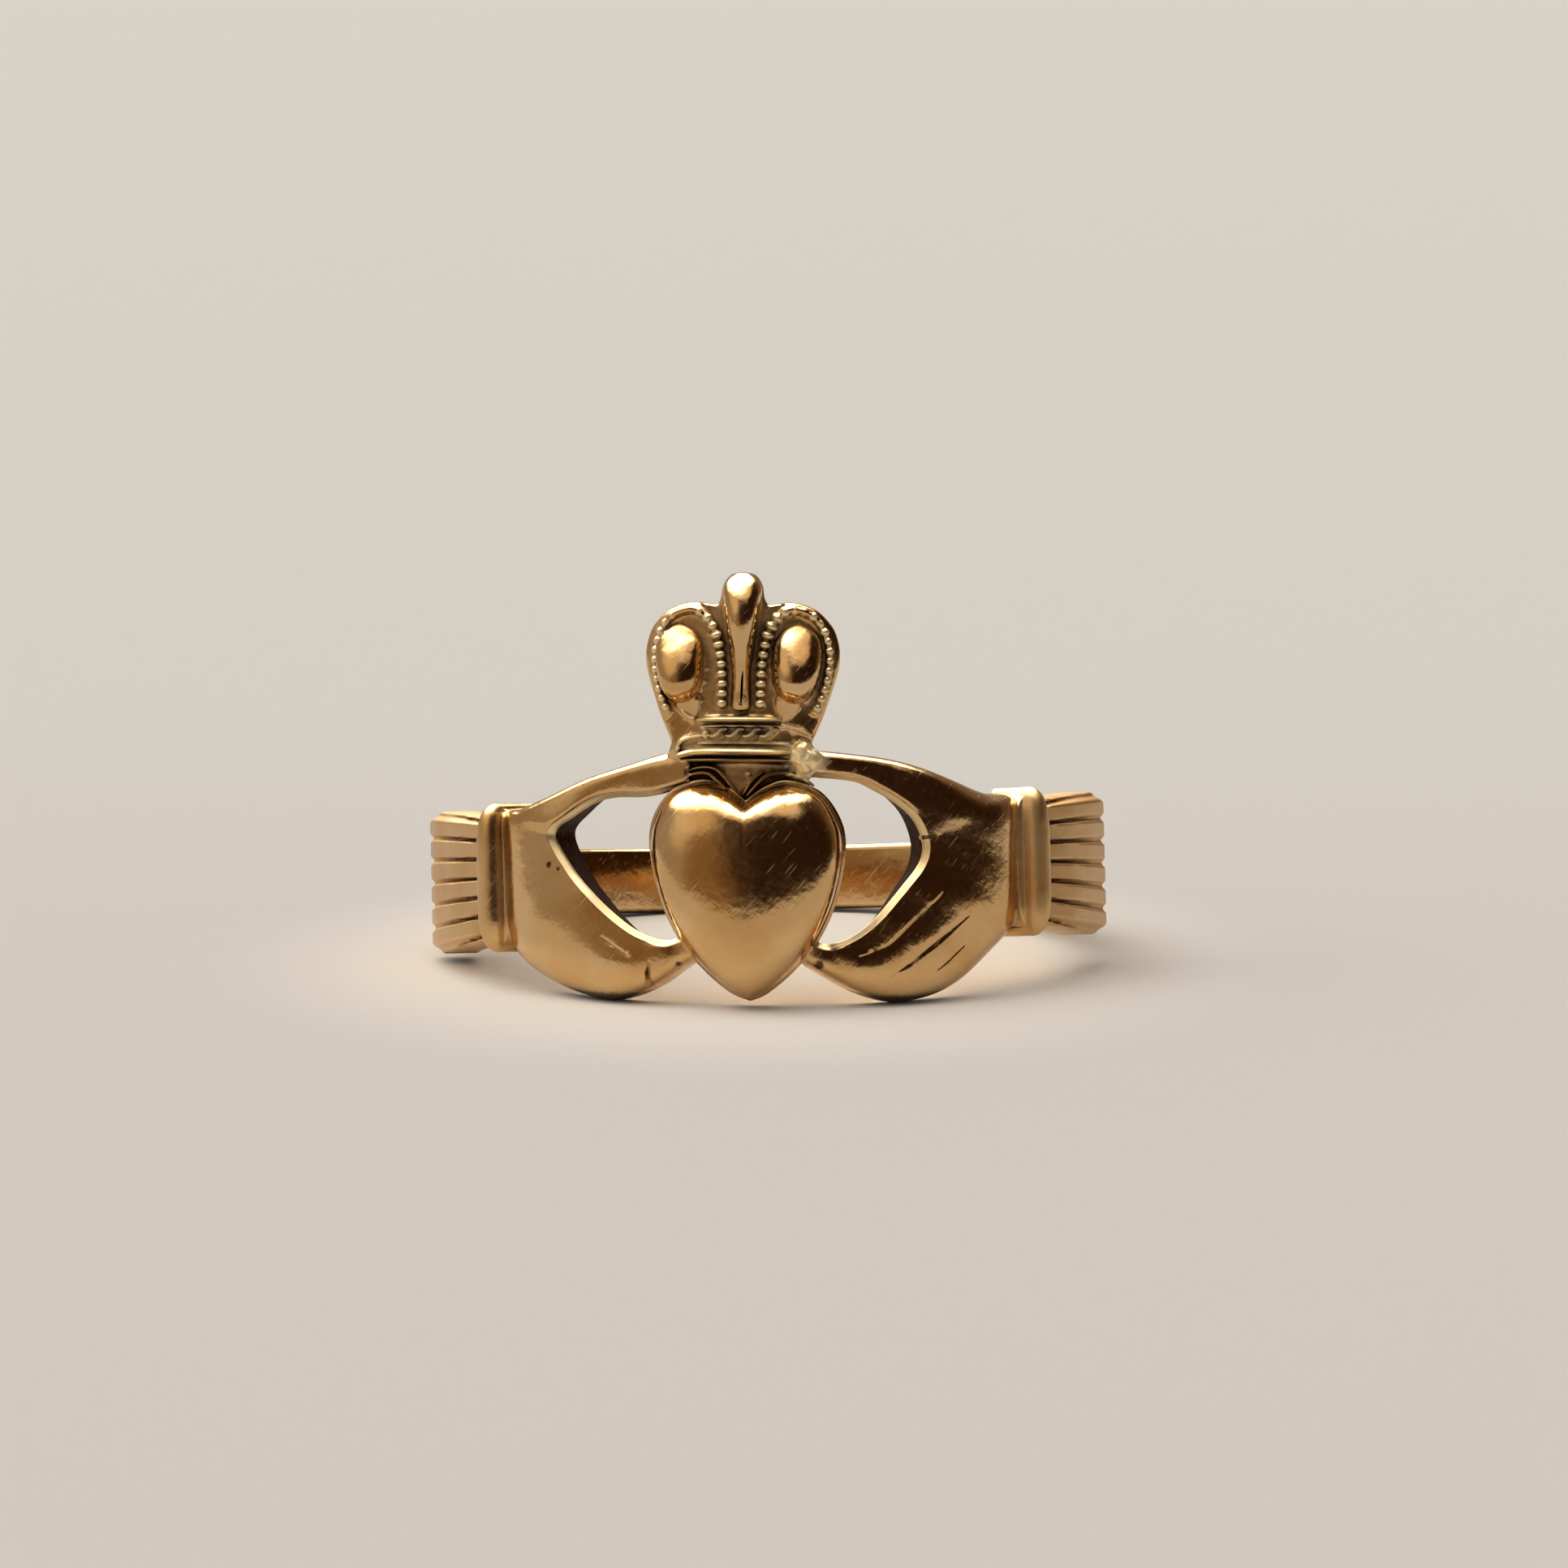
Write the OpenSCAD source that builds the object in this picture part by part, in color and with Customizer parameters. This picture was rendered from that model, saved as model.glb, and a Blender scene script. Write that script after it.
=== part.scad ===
// Claddagh ring: two hands hold a crowned heart, on a plain half-round band.
// One cast piece that lies on its side, leaning back on both hands and on the
// back of the band. Millimetres, +Z up, the heart faces -Y.

/* [Finger and band] */
// Inside diameter of the ring
bore_d = 17.3; // [14:0.1:22]
// Width of the band
band_w = 2; // [1.6:0.1:2.6]
// Thickness of the band
band_t = 1.3; // [1:0.05:1.7]
// Rounding of the band's inner edges
band_edge = 0.2; // [0.1:0.05:0.4]
// How far the motif and the sleeves stand clear of the finger
back_clear = 0.2; // [0.18:0.01:0.3]

/* [Heart] */
// Width of the heart
heart_w = 5.65; // [5:0.05:6.2]
// Height of the heart, tip to lobes
heart_h = 6.3; // [5.6:0.1:7]
// Height of the heart's tip below the middle of the band
heart_drop = 3.85; // [3.4:0.05:4.3]
// How far the heart's middle stands beside the band's
heart_offset = -0.1; // [-0.3:0.05:0.3]
// How far the heart's tip stands beside its notch
heart_tip_shift = 0.2; // [-0.3:0.05:0.3]
// Top of the heart's dome over the finger
heart_t = 2.7; // [2.2:0.1:3.2]
// Rim of the heart over the finger
heart_rim_t = 1.3; // [1.1:0.05:1.6]
// Width of the rim round the dome
heart_rim_w = 0.18; // [0.1:0.02:0.3]

/* [Crown] */
// Width of the crown across its lobes
crown_w = 5.65; // [5:0.05:6.2]
// Height of the crown, foot to knob
crown_h = 5.45; // [4.6:0.05:6.4]
// Height of the crown's foot over the middle of the band
crown_foot = 2.95; // [2.8:0.05:3.1]
// How far the crown's middle stands beside the band's
crown_offset = -0.24; // [-0.4:0.02:0.4]
// Thickness of the crown's plate
crown_t = 1.2; // [1:0.05:1.6]
// How far the beaded rims and ridges stand over the plate
rim_relief = 0.25; // [0.15:0.05:0.5]
// Width of the beaded rims round the lobes
rim_w = 0.3; // [0.2:0.02:0.4]
// How far the drop-shaped bosses stand over the plate
boss_relief = 0.5; // [0.3:0.05:0.8]
// Height of the solder lump at the crown's right foot
solder_h = 0.95; // [0.6:0.05:1.2]
// Width of the solder lump
solder_w = 0.9; // [0.6:0.05:1.1]
// How far the solder lump stands over the plate
solder_relief = 0.5; // [0.2:0.05:0.7]

/* [Hands] */
// Reach of the left hand, along the finger from the middle to its cuff
left_reach = 8.1; // [7.6:0.1:8.8]
// Reach of the right hand
right_reach = 8.8; // [8.2:0.1:9.4]
// Height of the hands, lowest finger to thumb
hand_h = 7.2; // [6.6:0.1:7.8]
// Depth of the lowest finger below the middle of the band
hand_drop = 3.85; // [3.4:0.05:4.3]
// Thickness of the hands
hand_t = 1.7; // [1.4:0.05:2.1]

/* [Cuffs and sleeves] */
// Height of the cuff beads
cuff_h = 4.3; // [3.8:0.1:4.8]
// Width of a cuff bead along the band
cuff_w = 1.1; // [0.8:0.05:1.4]
// Top of a cuff bead over the finger
cuff_t = 2.05; // [1.8:0.05:2.4]
// Height of a sleeve beside its cuff
sleeve_h = 3.6; // [3.2:0.1:4.2]
// Height of a sleeve at its open end
sleeve_end_h = 4.35; // [4:0.05:4.8]
// Thickness of the sleeves
sleeve_t = 1.5; // [1.4:0.05:1.8]
// How far the left cuff and sleeve hang below the middle of the band
left_hang = 0.1; // [0:0.02:0.16]
// Angle round the ring at which the sleeves end
sleeve_end = 85; // [78:1:92]
// Pleats in a sleeve
pleats = 7; // [5:1:9]
// Depth of the grooves between pleats
pleat_depth = 0.15; // [0.05:0.05:0.2]

/* [Hidden] */
gold = "goldenrod";

bore_r = bore_d / 2;
// Height over the finger at which lengths along it are measured
front_over = 1;
front_r = bore_r + front_over;
// The motif was set a little askew on the band
motif_turn = 2.1;
// The band ends inside the palms, this far round from the front
band_end = 34;
// Thickness at the crown plate's edge, and of the plate between crown and heart
edge_t = crown_t - 0.28;
// How deep raised details are set into what carries them
sunk = 0.45;
// Depth of each back before it is cut along the finger, all different so that no two lie in one face
heart_root = -0.5;
crown_root = -0.65;
plate_root = -0.28;
hand_root = -0.35;
cuff_root = -0.55;
sleeve_root = -0.45;

// Half outline of the heart from notch to tip: share of half width, share of height
HEART_HALF = [
    [0, 0.905], [0.18, 0.965], [0.42, 1], [0.74, 0.955], [0.94, 0.84], [1, 0.71],
    [0.94, 0.53], [0.8, 0.35], [0.56, 0.185], [0.22, 0.045], [0, 0]];
// Rise of the dome from its edge inwards: share of the outline, share of the rise
DOME = [
    [1, 0], [0.96, 0.27], [0.88, 0.49], [0.75, 0.69], [0.58, 0.85], [0.38, 0.95], [0.18, 0.99]];
// Half outline of the crown from knob to foot: share of half width, share of height
CROWN_HALF = [
    [0, 1], [0.125, 0.985], [0.2, 0.93], [0.225, 0.86], [0.27, 0.83], [0.36, 0.836],
    [0.5, 0.842], [0.62, 0.832], [0.75, 0.805], [0.86, 0.755], [0.95, 0.69], [1, 0.59],
    [0.99, 0.5], [0.95, 0.42], [0.9, 0.34], [0.84, 0.25], [0.775, 0.17], [0.72, 0.1],
    [0.69, 0], [0, 0]];
// Beaded rim of one lobe, foot to waist: share of half width, share of height
LOBE_RIM = [
    [0.17, 0.28], [0.17, 0.42], [0.2, 0.56], [0.29, 0.7], [0.44, 0.785], [0.62, 0.785],
    [0.79, 0.73], [0.89, 0.62], [0.9, 0.5], [0.84, 0.36], [0.76, 0.25]];
// Boss of one lobe, foot to top: share of half width out, share of height up, share of
// half width that it spreads each way, share of its relief
LOBE_BOSS = [
    [0.43, 0.315, 0.03, 0.4], [0.455, 0.36, 0.11, 0.75], [0.485, 0.43, 0.17, 0.95],
    [0.52, 0.52, 0.225, 1], [0.55, 0.6, 0.247, 1], [0.555, 0.665, 0.22, 0.92],
    [0.55, 0.71, 0.14, 0.75], [0.55, 0.728, 0.04, 0.4]];
// Column and knob: share of height up, share of half width each way, share of the boss relief
COLUMN = [
    [0.27, 0.03, 0.6], [0.285, 0.08, 0.75], [0.37, 0.065, 0.75], [0.585, 0.08, 0.85],
    [0.71, 0.11, 0.95], [0.82, 0.165, 1.05], [0.89, 0.2, 1.1], [0.95, 0.18, 1.1],
    [0.985, 0.085, 0.8]];
// Ridges across the crown's foot: share of height up, shares of half width long and wide
FOOT_RIDGES = [[0.23, 0.44, 0.042], [0.14, 0.64, 0.06], [0.04, 0.55, 0.057]];

// Hands as bows of sections round their openings, thumb first: share of reach and
// share of height at the opening, the same at the outer edge, share of thickness
LEFT_HAND = [
    [0.21, 0.847, 0.21, 1, 0.72], [0.36, 0.806, 0.32, 0.979, 0.72], [0.488, 0.801, 0.457, 0.933, 0.78],
    [0.57, 0.776, 0.605, 0.882, 0.85], [0.651, 0.718, 0.765, 0.81, 0.95],
    [0.701, 0.681, 0.889, 0.763, 1], [0.716, 0.646, 1, 0.739, 1], [0.694, 0.604, 1, 0.52, 1],
    [0.654, 0.544, 1, 0.354, 1], [0.617, 0.493, 0.988, 0.229, 1], [0.558, 0.426, 0.9, 0.129, 1],
    [0.484, 0.349, 0.741, 0.049, 0.95], [0.404, 0.282, 0.568, 0, 0.9], [0.338, 0.247, 0.457, 0.007, 0.85],
    [0.284, 0.235, 0.333, 0.058, 0.8], [0.241, 0.251, 0.241, 0.122, 0.75], [0.16, 0.285, 0.16, 0.18, 0.72]];
RIGHT_HAND = [
    [0.193, 0.889, 0.193, 1, 0.72], [0.339, 0.875, 0.33, 0.989, 0.72], [0.409, 0.84, 0.466, 0.972, 0.76],
    [0.466, 0.801, 0.577, 0.943, 0.85], [0.517, 0.75, 0.705, 0.896, 0.95],
    [0.548, 0.692, 0.841, 0.851, 1], [0.565, 0.629, 1, 0.833, 1], [0.56, 0.576, 1, 0.618, 1],
    [0.539, 0.528, 1, 0.437, 1], [0.5, 0.469, 0.966, 0.31, 1], [0.46, 0.407, 0.864, 0.201, 0.97],
    [0.419, 0.346, 0.749, 0.094, 0.95], [0.375, 0.293, 0.636, 0.032, 0.9],
    [0.33, 0.254, 0.51, 0.005, 0.85], [0.284, 0.233, 0.375, 0.038, 0.8],
    [0.244, 0.231, 0.25, 0.107, 0.75], [0.148, 0.271, 0.148, 0.174, 0.72]];
// Section of a hand from the opening to the outer edge: share across, share of thickness
HAND_SECTION = [
    [0, 0.6], [0.03, 0.78], [0.12, 0.9], [0.32, 1], [0.58, 0.98], [0.8, 0.88], [0.93, 0.7], [1, 0.5]];

// Smooth open curve through rows of numbers
function curve(p, steps) = concat(
    [for (i = [0:len(p) - 2], k = [0:steps - 1])
        let (a = p[max(i - 1, 0)], b = p[i], c = p[i + 1], d = p[min(i + 2, len(p) - 1)], t = k / steps)
        0.5 * (2 * b + t * (c - a) + t * t * (2 * a - 5 * b + 4 * c - d)
            + t * t * t * (3 * b - a - 3 * c + d))],
    [p[len(p) - 1]]);

// Closed loop, anticlockwise from the top, from its right half
function both_sides(half) = concat(
    [for (i = [0:len(half) - 1]) [-half[i].x, half[i].y]],
    [for (i = [len(half) - 2:-1:1]) half[i]]);

function backwards(list) = [for (i = [len(list) - 1:-1:0]) list[i]];

// Point of the ring: angle round from the front, height, and height over the finger
function ring_point(angle, up, over) =
    [(bore_r + over) * sin(angle), -(bore_r + over) * cos(angle), up];

// Point over the finger for a flat point, x along the finger and y up, turned by askew
function wrap(p, over, askew) =
    let (along = p.x * cos(askew) + p.y * sin(askew), up = p.y * cos(askew) - p.x * sin(askew))
    ring_point(along / front_r * 180 / PI, up, over);

function heart_point(p) =
    [p.x * heart_w / 2 + heart_offset + heart_tip_shift * (1 - p.y), p.y * heart_h - heart_drop];
function crown_point(p) = [p.x * crown_w / 2 + crown_offset, crown_foot + p.y * crown_h];
function hand_rows(rows, reach) = [for (r = curve(rows, 2))
    [r[0] * reach, r[1] * hand_h - hand_drop, r[2] * reach, r[3] * hand_h - hand_drop, r[4] * hand_t]];

// Solid through closed rings of points, each end closed by a fan to a tip
module loft(rings, tips) {
    n = len(rings[0]);
    top = (len(rings) - 1) * n;
    tip = len(rings) * n;
    points = concat([for (ring = rings) for (p = ring) p], tips);
    sides = [for (i = [0:n:top - n], j = [0:n - 1], half = [0, 1])
        let (k = (j + 1) % n)
        half == 0 ? [i + j, i + n + j, i + k] : [i + k, i + n + j, i + n + k]];
    ends = [for (j = [0:n - 1], half = [0, 1])
        let (k = (j + 1) % n)
        half == 0 ? [tip, j, k] : [tip + 1, top + k, top + j]];
    polyhedron(points, concat(sides, ends));
}

// Mound over a star-shaped outline: rows of share of the outline and height over the finger
module mound(outline, middle, rows, root) {
    rings = concat(
        [[for (p = outline) wrap(p, root, motif_turn)]],
        [for (row = rows) [for (p = outline) wrap(middle + row[0] * (p - middle), row[1], motif_turn)]]);
    loft(rings, [wrap(middle, root, motif_turn), wrap(middle, rows[len(rows) - 1][1], motif_turn)]);
}

// Rounded rib along rows of [x, y, half width, top], standing on base and reaching in to root
module rib(rows, base, root, askew = motif_turn) {
    last = len(rows) - 1;
    flat = [for (r = rows) [r[0], r[1]]];
    rings = [for (i = [0:last])
        let (run = flat[min(i + 1, last)] - flat[max(i - 1, 0)],
             side = [-run.y, run.x] / norm(run) * rows[i][2], rise = rows[i][3] - base)
        concat(
            [for (a = [0:30:180]) wrap(flat[i] + side * cos(a), base + rise * sin(a), askew)],
            [wrap(flat[i] - side, root, askew), wrap(flat[i] + side, root, askew)])];
    loft(rings, [wrap(flat[0], (base + root) / 2, askew), wrap(flat[last], (base + root) / 2, askew)]);
}

// The plain band, with the true finger bore
module band() {
    crown = [for (a = [0:22.5:180])
        [bore_r + band_edge + (band_t - band_edge) * sin(a), -band_w / 2 * cos(a)]];
    flat = band_w / 2 - band_edge;
    rotate_extrude(angle = 360 - 2 * band_end, start = band_end - 90, $fn = 120)
        polygon(concat(crown, [[bore_r, flat], [bore_r, -flat]]));
}

// The domed heart with its thin rim
module heart() {
    outline = [for (p = both_sides(curve(HEART_HALF, 3))) heart_point(p)];
    middle = heart_point([0, 0.6]);
    inner = 1 - heart_rim_w / (heart_w / 2);
    rows = concat([[1, heart_rim_t], [inner, heart_rim_t + 0.02]],
        [for (r = DOME) [inner * 0.98 * r[0], heart_rim_t + (heart_t - heart_rim_t) * r[1]]]);
    mound(outline, middle, rows, heart_root);
}

// One lobe of the crown: side is -1 for the left, 1 for the right
module lobe(side) {
    rim = [for (p = curve(LOBE_RIM, 2)) let (q = crown_point([side * p.x, p.y]))
        [q.x, q.y, rim_w / 2, crown_t + rim_relief]];
    boss = [for (p = curve(LOBE_BOSS, 2)) let (q = crown_point([side * p.x, p.y]))
        [q.x, q.y, p[2] * crown_w / 2, crown_t + boss_relief * p[3]]];
    rib(rim, crown_t - 0.1, crown_t - sunk);
    rib(boss, crown_t - 0.1, crown_t - sunk - 0.05);
}

// Crown plate, lobes, column with its knob, and the ridges across the foot
module crown() {
    outline = [for (p = both_sides(curve(CROWN_HALF, 2))) crown_point(p)];
    middle = crown_point([0, 0.5]);
    mound(outline, middle, [[1, edge_t + 0.03], [0.96, crown_t], [0.5, crown_t]], crown_root);
    for (side = [-1, 1]) lobe(side);
    column = [for (r = curve(COLUMN, 2)) let (q = crown_point([0, r[0]]))
        [q.x, q.y, r[1] * crown_w / 2, crown_t + boss_relief * r[2]]];
    rib(column, crown_t - 0.15, crown_t - sunk - 0.1);
    for (r = FOOT_RIDGES)
        rib([for (x = [-1, -0.85, -0.4, 0, 0.4, 0.85, 1]) let (q = crown_point([x * r[1], r[0]]))
            [q.x, q.y, r[2] * crown_w / 2, crown_t + rim_relief * (abs(x) < 1 ? 1.2 : 0.6)]],
            crown_t - 0.05, crown_t - sunk + 0.05);
}

// Plate behind the lobes of the heart, up to the crown's foot
module back_plate() {
    low = heart_point([0, 0.84]).y;
    high = crown_point([0, 0.05]).y;
    half = crown_point([0.72, 0]).x;
    mound([[half, high], [-half, high], [-half, low + 0.3], [0, low], [half, low + 0.3]],
        [0, (low + high) / 2], [[1, edge_t - 0.02], [0.6, edge_t]], plate_root);
}

// Lump of solder at the right end of the crown's foot
module solder_lump() {
    foot = crown_point([0.66, 0]);
    lump = [for (t = [0.05:0.18:0.95])
        [foot.x, foot.y + solder_h * (t - 0.44), solder_w / 2 * sqrt(sin(180 * t)),
            crown_t + solder_relief * (0.2 + 0.8 * sin(180 * t))]];
    rib(lump, edge_t - 0.07, edge_t - sunk + 0.18);
}

// One hand: a bow of sections from the thumb round the palm to the fingers
module hand(rows, side) {
    rings = [for (r = rows)
        let (inner = [side * r[0], r[1]], outer = [side * r[2], r[3]],
             ring = concat(
                [for (s = HAND_SECTION) wrap(inner + (outer - inner) * s[0], r[4] * s[1], motif_turn)],
                [wrap(outer, hand_root, motif_turn), wrap(inner, hand_root, motif_turn)]))
        side < 0 ? ring : backwards(ring)];
    tips = [for (r = [rows[0], rows[len(rows) - 1]])
        wrap([side * (r[0] + r[2]), r[1] + r[3]] / 2, 0.2, motif_turn)];
    loft(rings, tips);
}

// Rounded bead at a hand's wrist
module cuff(along, hang) {
    base = sleeve_t - 0.15;
    rows = [for (turn = [9:18:171]) let (t = cos(turn), full = sqrt(1 - pow(t, 4)))
        [along, -t * cuff_h / 2 - hang, cuff_w / 2 * full, base + (cuff_t - base) * full]];
    rib(rows, base, cuff_root, 0);
}

// Pleated sleeve that widens away from its cuff; first and last are angles, left to right
module sleeve(first, last, first_h, last_h, hang) {
    crests = 2 * pleats;
    rings = [for (t = [0:0.2:1])
        let (angle = first + (last - first) * t, half = (first_h + (last_h - first_h) * t) / 2)
        concat(
            [for (k = [0:crests]) let (edge = k == 0 || k == crests ? 2 : k % 2)
                ring_point(angle, half * (1 - 2 * k / crests) - hang, sleeve_t - pleat_depth * edge)],
            [for (end = [-half, half]) ring_point(angle, end - hang, sleeve_root)])];
    loft(rings, [for (angle = [first, last]) ring_point(angle, 0, 0.3)]);
}

module sleeves() {
    left = -left_reach / front_r * 180 / PI;
    right = right_reach / front_r * 180 / PI;
    sleeve(-sleeve_end, left, sleeve_end_h, sleeve_h, left_hang);
    sleeve(right, sleeve_end, sleeve_h, sleeve_end_h, 0);
}

// Everything that is shaped in relief, with the finger side cut back clear of the finger
module relief() {
    difference() {
        union() {
            heart();
            crown();
            back_plate();
            solder_lump();
            hand(hand_rows(LEFT_HAND, left_reach), -1);
            hand(hand_rows(RIGHT_HAND, right_reach), 1);
            cuff(-left_reach, left_hang);
            cuff(right_reach, 0);
            sleeves();
        }
        translate([0, 0, -2 * heart_drop]) cylinder(h = 3 * crown_h, r = bore_r + back_clear, $fn = 120);
    }
}

// Lowest point of a hand, at the finger side of its outer edge
function hand_foot(rows, side) =
    let (ups = [for (r = rows) r[3]], low = search(min(ups), ups)[0])
    wrap([side * rows[low][2], rows[low][3]], back_clear, motif_turn);

// The ring at rest: both hands and the lowest stretch of the band's back are level
left_foot = hand_foot(hand_rows(LEFT_HAND, left_reach), -1);
right_foot = hand_foot(hand_rows(RIGHT_HAND, right_reach), 1);
function band_foot(angle) = ring_point(angle, -band_w / 2, band_edge);
function level(back) = cross(right_foot - left_foot, back - left_foot);
back_angle = atan2(-level(band_foot(180)).x, level(band_foot(180)).y);
plumb = level(band_foot(back_angle));
roll = atan2(-plumb.x, plumb.z);
lean = atan2(plumb.y, norm([plumb.x, plumb.z]));

function rested(p) =
    let (x = p.x * cos(roll) + p.z * sin(roll), z = p.z * cos(roll) - p.x * sin(roll))
    [x, p.y * cos(lean) - z * sin(lean), p.y * sin(lean) + z * cos(lean)];

// Points that could touch the table, and how far the ring is lifted to clear it
feet = concat(
    [left_foot, right_foot, band_foot(back_angle), wrap([0, -heart_drop], back_clear, motif_turn)],
    [for (side = [-1, 1], over = [back_clear, sleeve_t - 2 * pleat_depth])
        ring_point(side * sleeve_end, -sleeve_end_h / 2 - left_hang * (1 - side) / 2, over)]);
lift = -min([for (p = feet) rested(p).z]);
// The origin is under the middle between the heart's lower front and the band's back
heart_front = min([for (r = DOME)
    rested(wrap(heart_point([0, 0.6 * (1 - r[0])]), heart_rim_t + (heart_t - heart_rim_t) * r[1], motif_turn)).y]);
middle_y = (heart_front + rested(ring_point(180, 0, band_t)).y) / 2;

module ring() {
    color(gold) translate([0, -middle_y, lift]) rotate([lean, 0, 0]) rotate([0, roll, 0]) {
        relief();
        band();
    }
}

ring();
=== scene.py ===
"""A worn gold claddagh ring that lies on its side on a pale table.

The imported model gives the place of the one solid, ``ring``. The scene builds the same
cast body with its small forms (beads, rope, engraved fingers, solder), fuses it into one
closed mesh, dresses it and lights it. Sizes inside the classes are millimetres.
"""
import logging
import math
from dataclasses import dataclass
from enum import Enum
from typing import Iterator, Sequence

import bmesh
import bpy
from bmesh.types import BMEdge, BMVert
from bmesh.types import BMesh as Mesh
from bpy.types import Material, Node, NodeSocket, NodeTree, Object
from mathutils import Matrix, Vector, noise
from mathutils.bvhtree import BVHTree


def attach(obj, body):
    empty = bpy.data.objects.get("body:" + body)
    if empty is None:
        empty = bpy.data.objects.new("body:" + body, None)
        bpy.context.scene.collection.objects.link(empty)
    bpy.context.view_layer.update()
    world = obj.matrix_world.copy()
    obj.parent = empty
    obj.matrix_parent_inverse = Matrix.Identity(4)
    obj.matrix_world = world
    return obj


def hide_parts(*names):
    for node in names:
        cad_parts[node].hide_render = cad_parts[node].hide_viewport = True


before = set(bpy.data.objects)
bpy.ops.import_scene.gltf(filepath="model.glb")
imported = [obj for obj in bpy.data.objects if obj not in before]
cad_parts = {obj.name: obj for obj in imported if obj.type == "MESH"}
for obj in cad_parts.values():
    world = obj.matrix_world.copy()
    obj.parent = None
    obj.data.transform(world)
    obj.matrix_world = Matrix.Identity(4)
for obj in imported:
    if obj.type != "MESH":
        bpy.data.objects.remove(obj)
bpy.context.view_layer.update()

LOG = logging.getLogger("claddagh")
MILLIMETRE = 0.001

# The column of a point that lies in no section, far from that of any other
NO_COLUMN = -9

Rows = Sequence[Sequence[float]]
Loop = list[Vector]


class Join(Enum):
    """How a form meets the body that is already there."""

    FUSE = "UNION"
    CUT = "DIFFERENCE"


class Side(Enum):
    """The side of the heart as the viewer sees it; the value is its sign along the finger."""

    LEFT = -1
    RIGHT = 1


class Finish(Enum):
    """The material slots of the ring."""

    POLISHED = 0
    # The walls of the openings: oxide and painted shade
    UNPOLISHED_PAINTED_SHADE = 1
    # The high places: rubbed wear, painted highlight and painted shade in the gaps
    RUBBED_PAINTED_LIGHT = 2


# Curves and skins


def smooth(t: float) -> float:
    """Eases from 0 to 1 as t does, and holds there."""
    t = min(max(t, 0.0), 1.0)
    return t * t * (3 - 2 * t)


def through(rows: Rows, steps: int) -> list[Vector]:
    """Runs a smooth curve through rows of numbers.

    Args:
        rows: Points with any number of columns.
        steps: Pieces between one row and the next.

    Returns:
        The points of the curve, first and last row included.
    """
    knots = [Vector(row) for row in rows]
    last = len(knots) - 1
    made = []
    for i in range(last):
        a, b, c, d = knots[max(i - 1, 0)], knots[i], knots[i + 1], knots[min(i + 2, last)]
        for k in range(steps):
            t = k / steps
            made.append(0.5 * (2 * b + t * (c - a) + t * t * (2 * a - 5 * b + 4 * c - d)
                               + t ** 3 * (3 * b - a - 3 * c + d)))
    return made + [knots[last]]


def both_sides(half: Sequence[Vector]) -> Loop:
    """Closes a loop from its right half, anticlockwise from the top."""
    return [Vector((-p.x, p.y)) for p in half] + [p.copy() for p in reversed(half[1:-1])]


def lifted(point: Vector, over: float) -> Vector:
    """Returns a flat point at a height over the finger."""
    return Vector((point.x, point.y, over))


class Skin:
    """A closed skin that grows by extruding its open rim from one section to the next."""

    def __init__(self, section: Loop) -> None:
        """Starts with a closed end.

        Args:
            section: The first ring of points.
        """
        self.mesh = bmesh.new()
        self.column: dict[BMVert, int] = {}
        made = bmesh.ops.create_circle(self.mesh, cap_ends=True, segments=len(section), radius=1.0)
        self.rim: list[BMVert] = made["verts"]
        self._place(section)

    def _place(self, section: Loop) -> None:
        """Moves the rim onto a section."""
        for k, (vert, point) in enumerate(zip(self.rim, section)):
            vert.co = point
            self.column[vert] = k

    def _edges(self) -> list[BMEdge]:
        """Returns the rim's edges in order."""
        return [self.mesh.edges.get((a, b)) for a, b in zip(self.rim, self.rim[1:] + self.rim[:1])]

    def extend(self, section: Loop) -> None:
        """Extrudes the rim and moves it onto the next section.

        Args:
            section: As many points as the rim has.
        """
        grown = bmesh.ops.extrude_edge_only(self.mesh, edges=self._edges())["geom"]
        fresh = {item for item in grown if isinstance(item, BMVert)}
        self.rim = [next(e.other_vert(v) for e in v.link_edges if e.other_vert(v) in fresh)
                    for v in self.rim]
        self._place(section)

    def close(self, finishes: Sequence[Finish]) -> Mesh:
        """Closes the rim, gives both ends a tip and turns the faces outwards.

        Args:
            finishes: The finish of each strip from the section's first point on; the rest is polished.

        Returns:
            The closed mesh.
        """
        bmesh.ops.contextual_create(self.mesh, geom=self._edges())
        ends = [f for f in self.mesh.faces if len(f.verts) > 4]
        bmesh.ops.poke(self.mesh, faces=ends)
        bmesh.ops.recalc_face_normals(self.mesh, faces=self.mesh.faces[:])
        for face in self.mesh.faces:
            columns = {self.column.get(vert, NO_COLUMN) for vert in face.verts}
            first = min(columns)
            if max(columns) == first + 1 and first < len(finishes):
                face.material_index = finishes[first].value
        return self.mesh


def loft(sections: Sequence[Loop], finishes: Sequence[Finish] = ()) -> Mesh:
    """Skins a row of sections and closes both ends.

    Args:
        sections: Rings of points, all with the same number.
        finishes: The finish of each strip from the section's first point on; the rest is polished.

    Returns:
        The closed mesh.
    """
    skin = Skin(sections[0])
    for section in sections[1:]:
        skin.extend(section)
    return skin.close(finishes)


def across(rows: Sequence[Vector], i: int) -> Vector:
    """Returns the sideways direction of a line of rows at one row."""
    ahead, behind = rows[min(i + 1, len(rows) - 1)], rows[max(i - 1, 0)]
    run = Vector((ahead[0] - behind[0], ahead[1] - behind[1])).normalized()
    return Vector((-run.y, run.x))


def spread(rows: Sequence[Vector], i: int, profile: Rows) -> Loop:
    """Sets a profile across a line of rows.

    Args:
        rows: Along the finger, up and half width, in turn.
        i: The row at which the profile stands.
        profile: Shares of the half width, and heights over the finger.

    Returns:
        The section there.
    """
    x, y = rows[i][0], rows[i][1]
    side = across(rows, i) * rows[i][2]
    return [Vector((x + side.x * share, y + side.y * share, over)) for share, over in profile]


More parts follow.
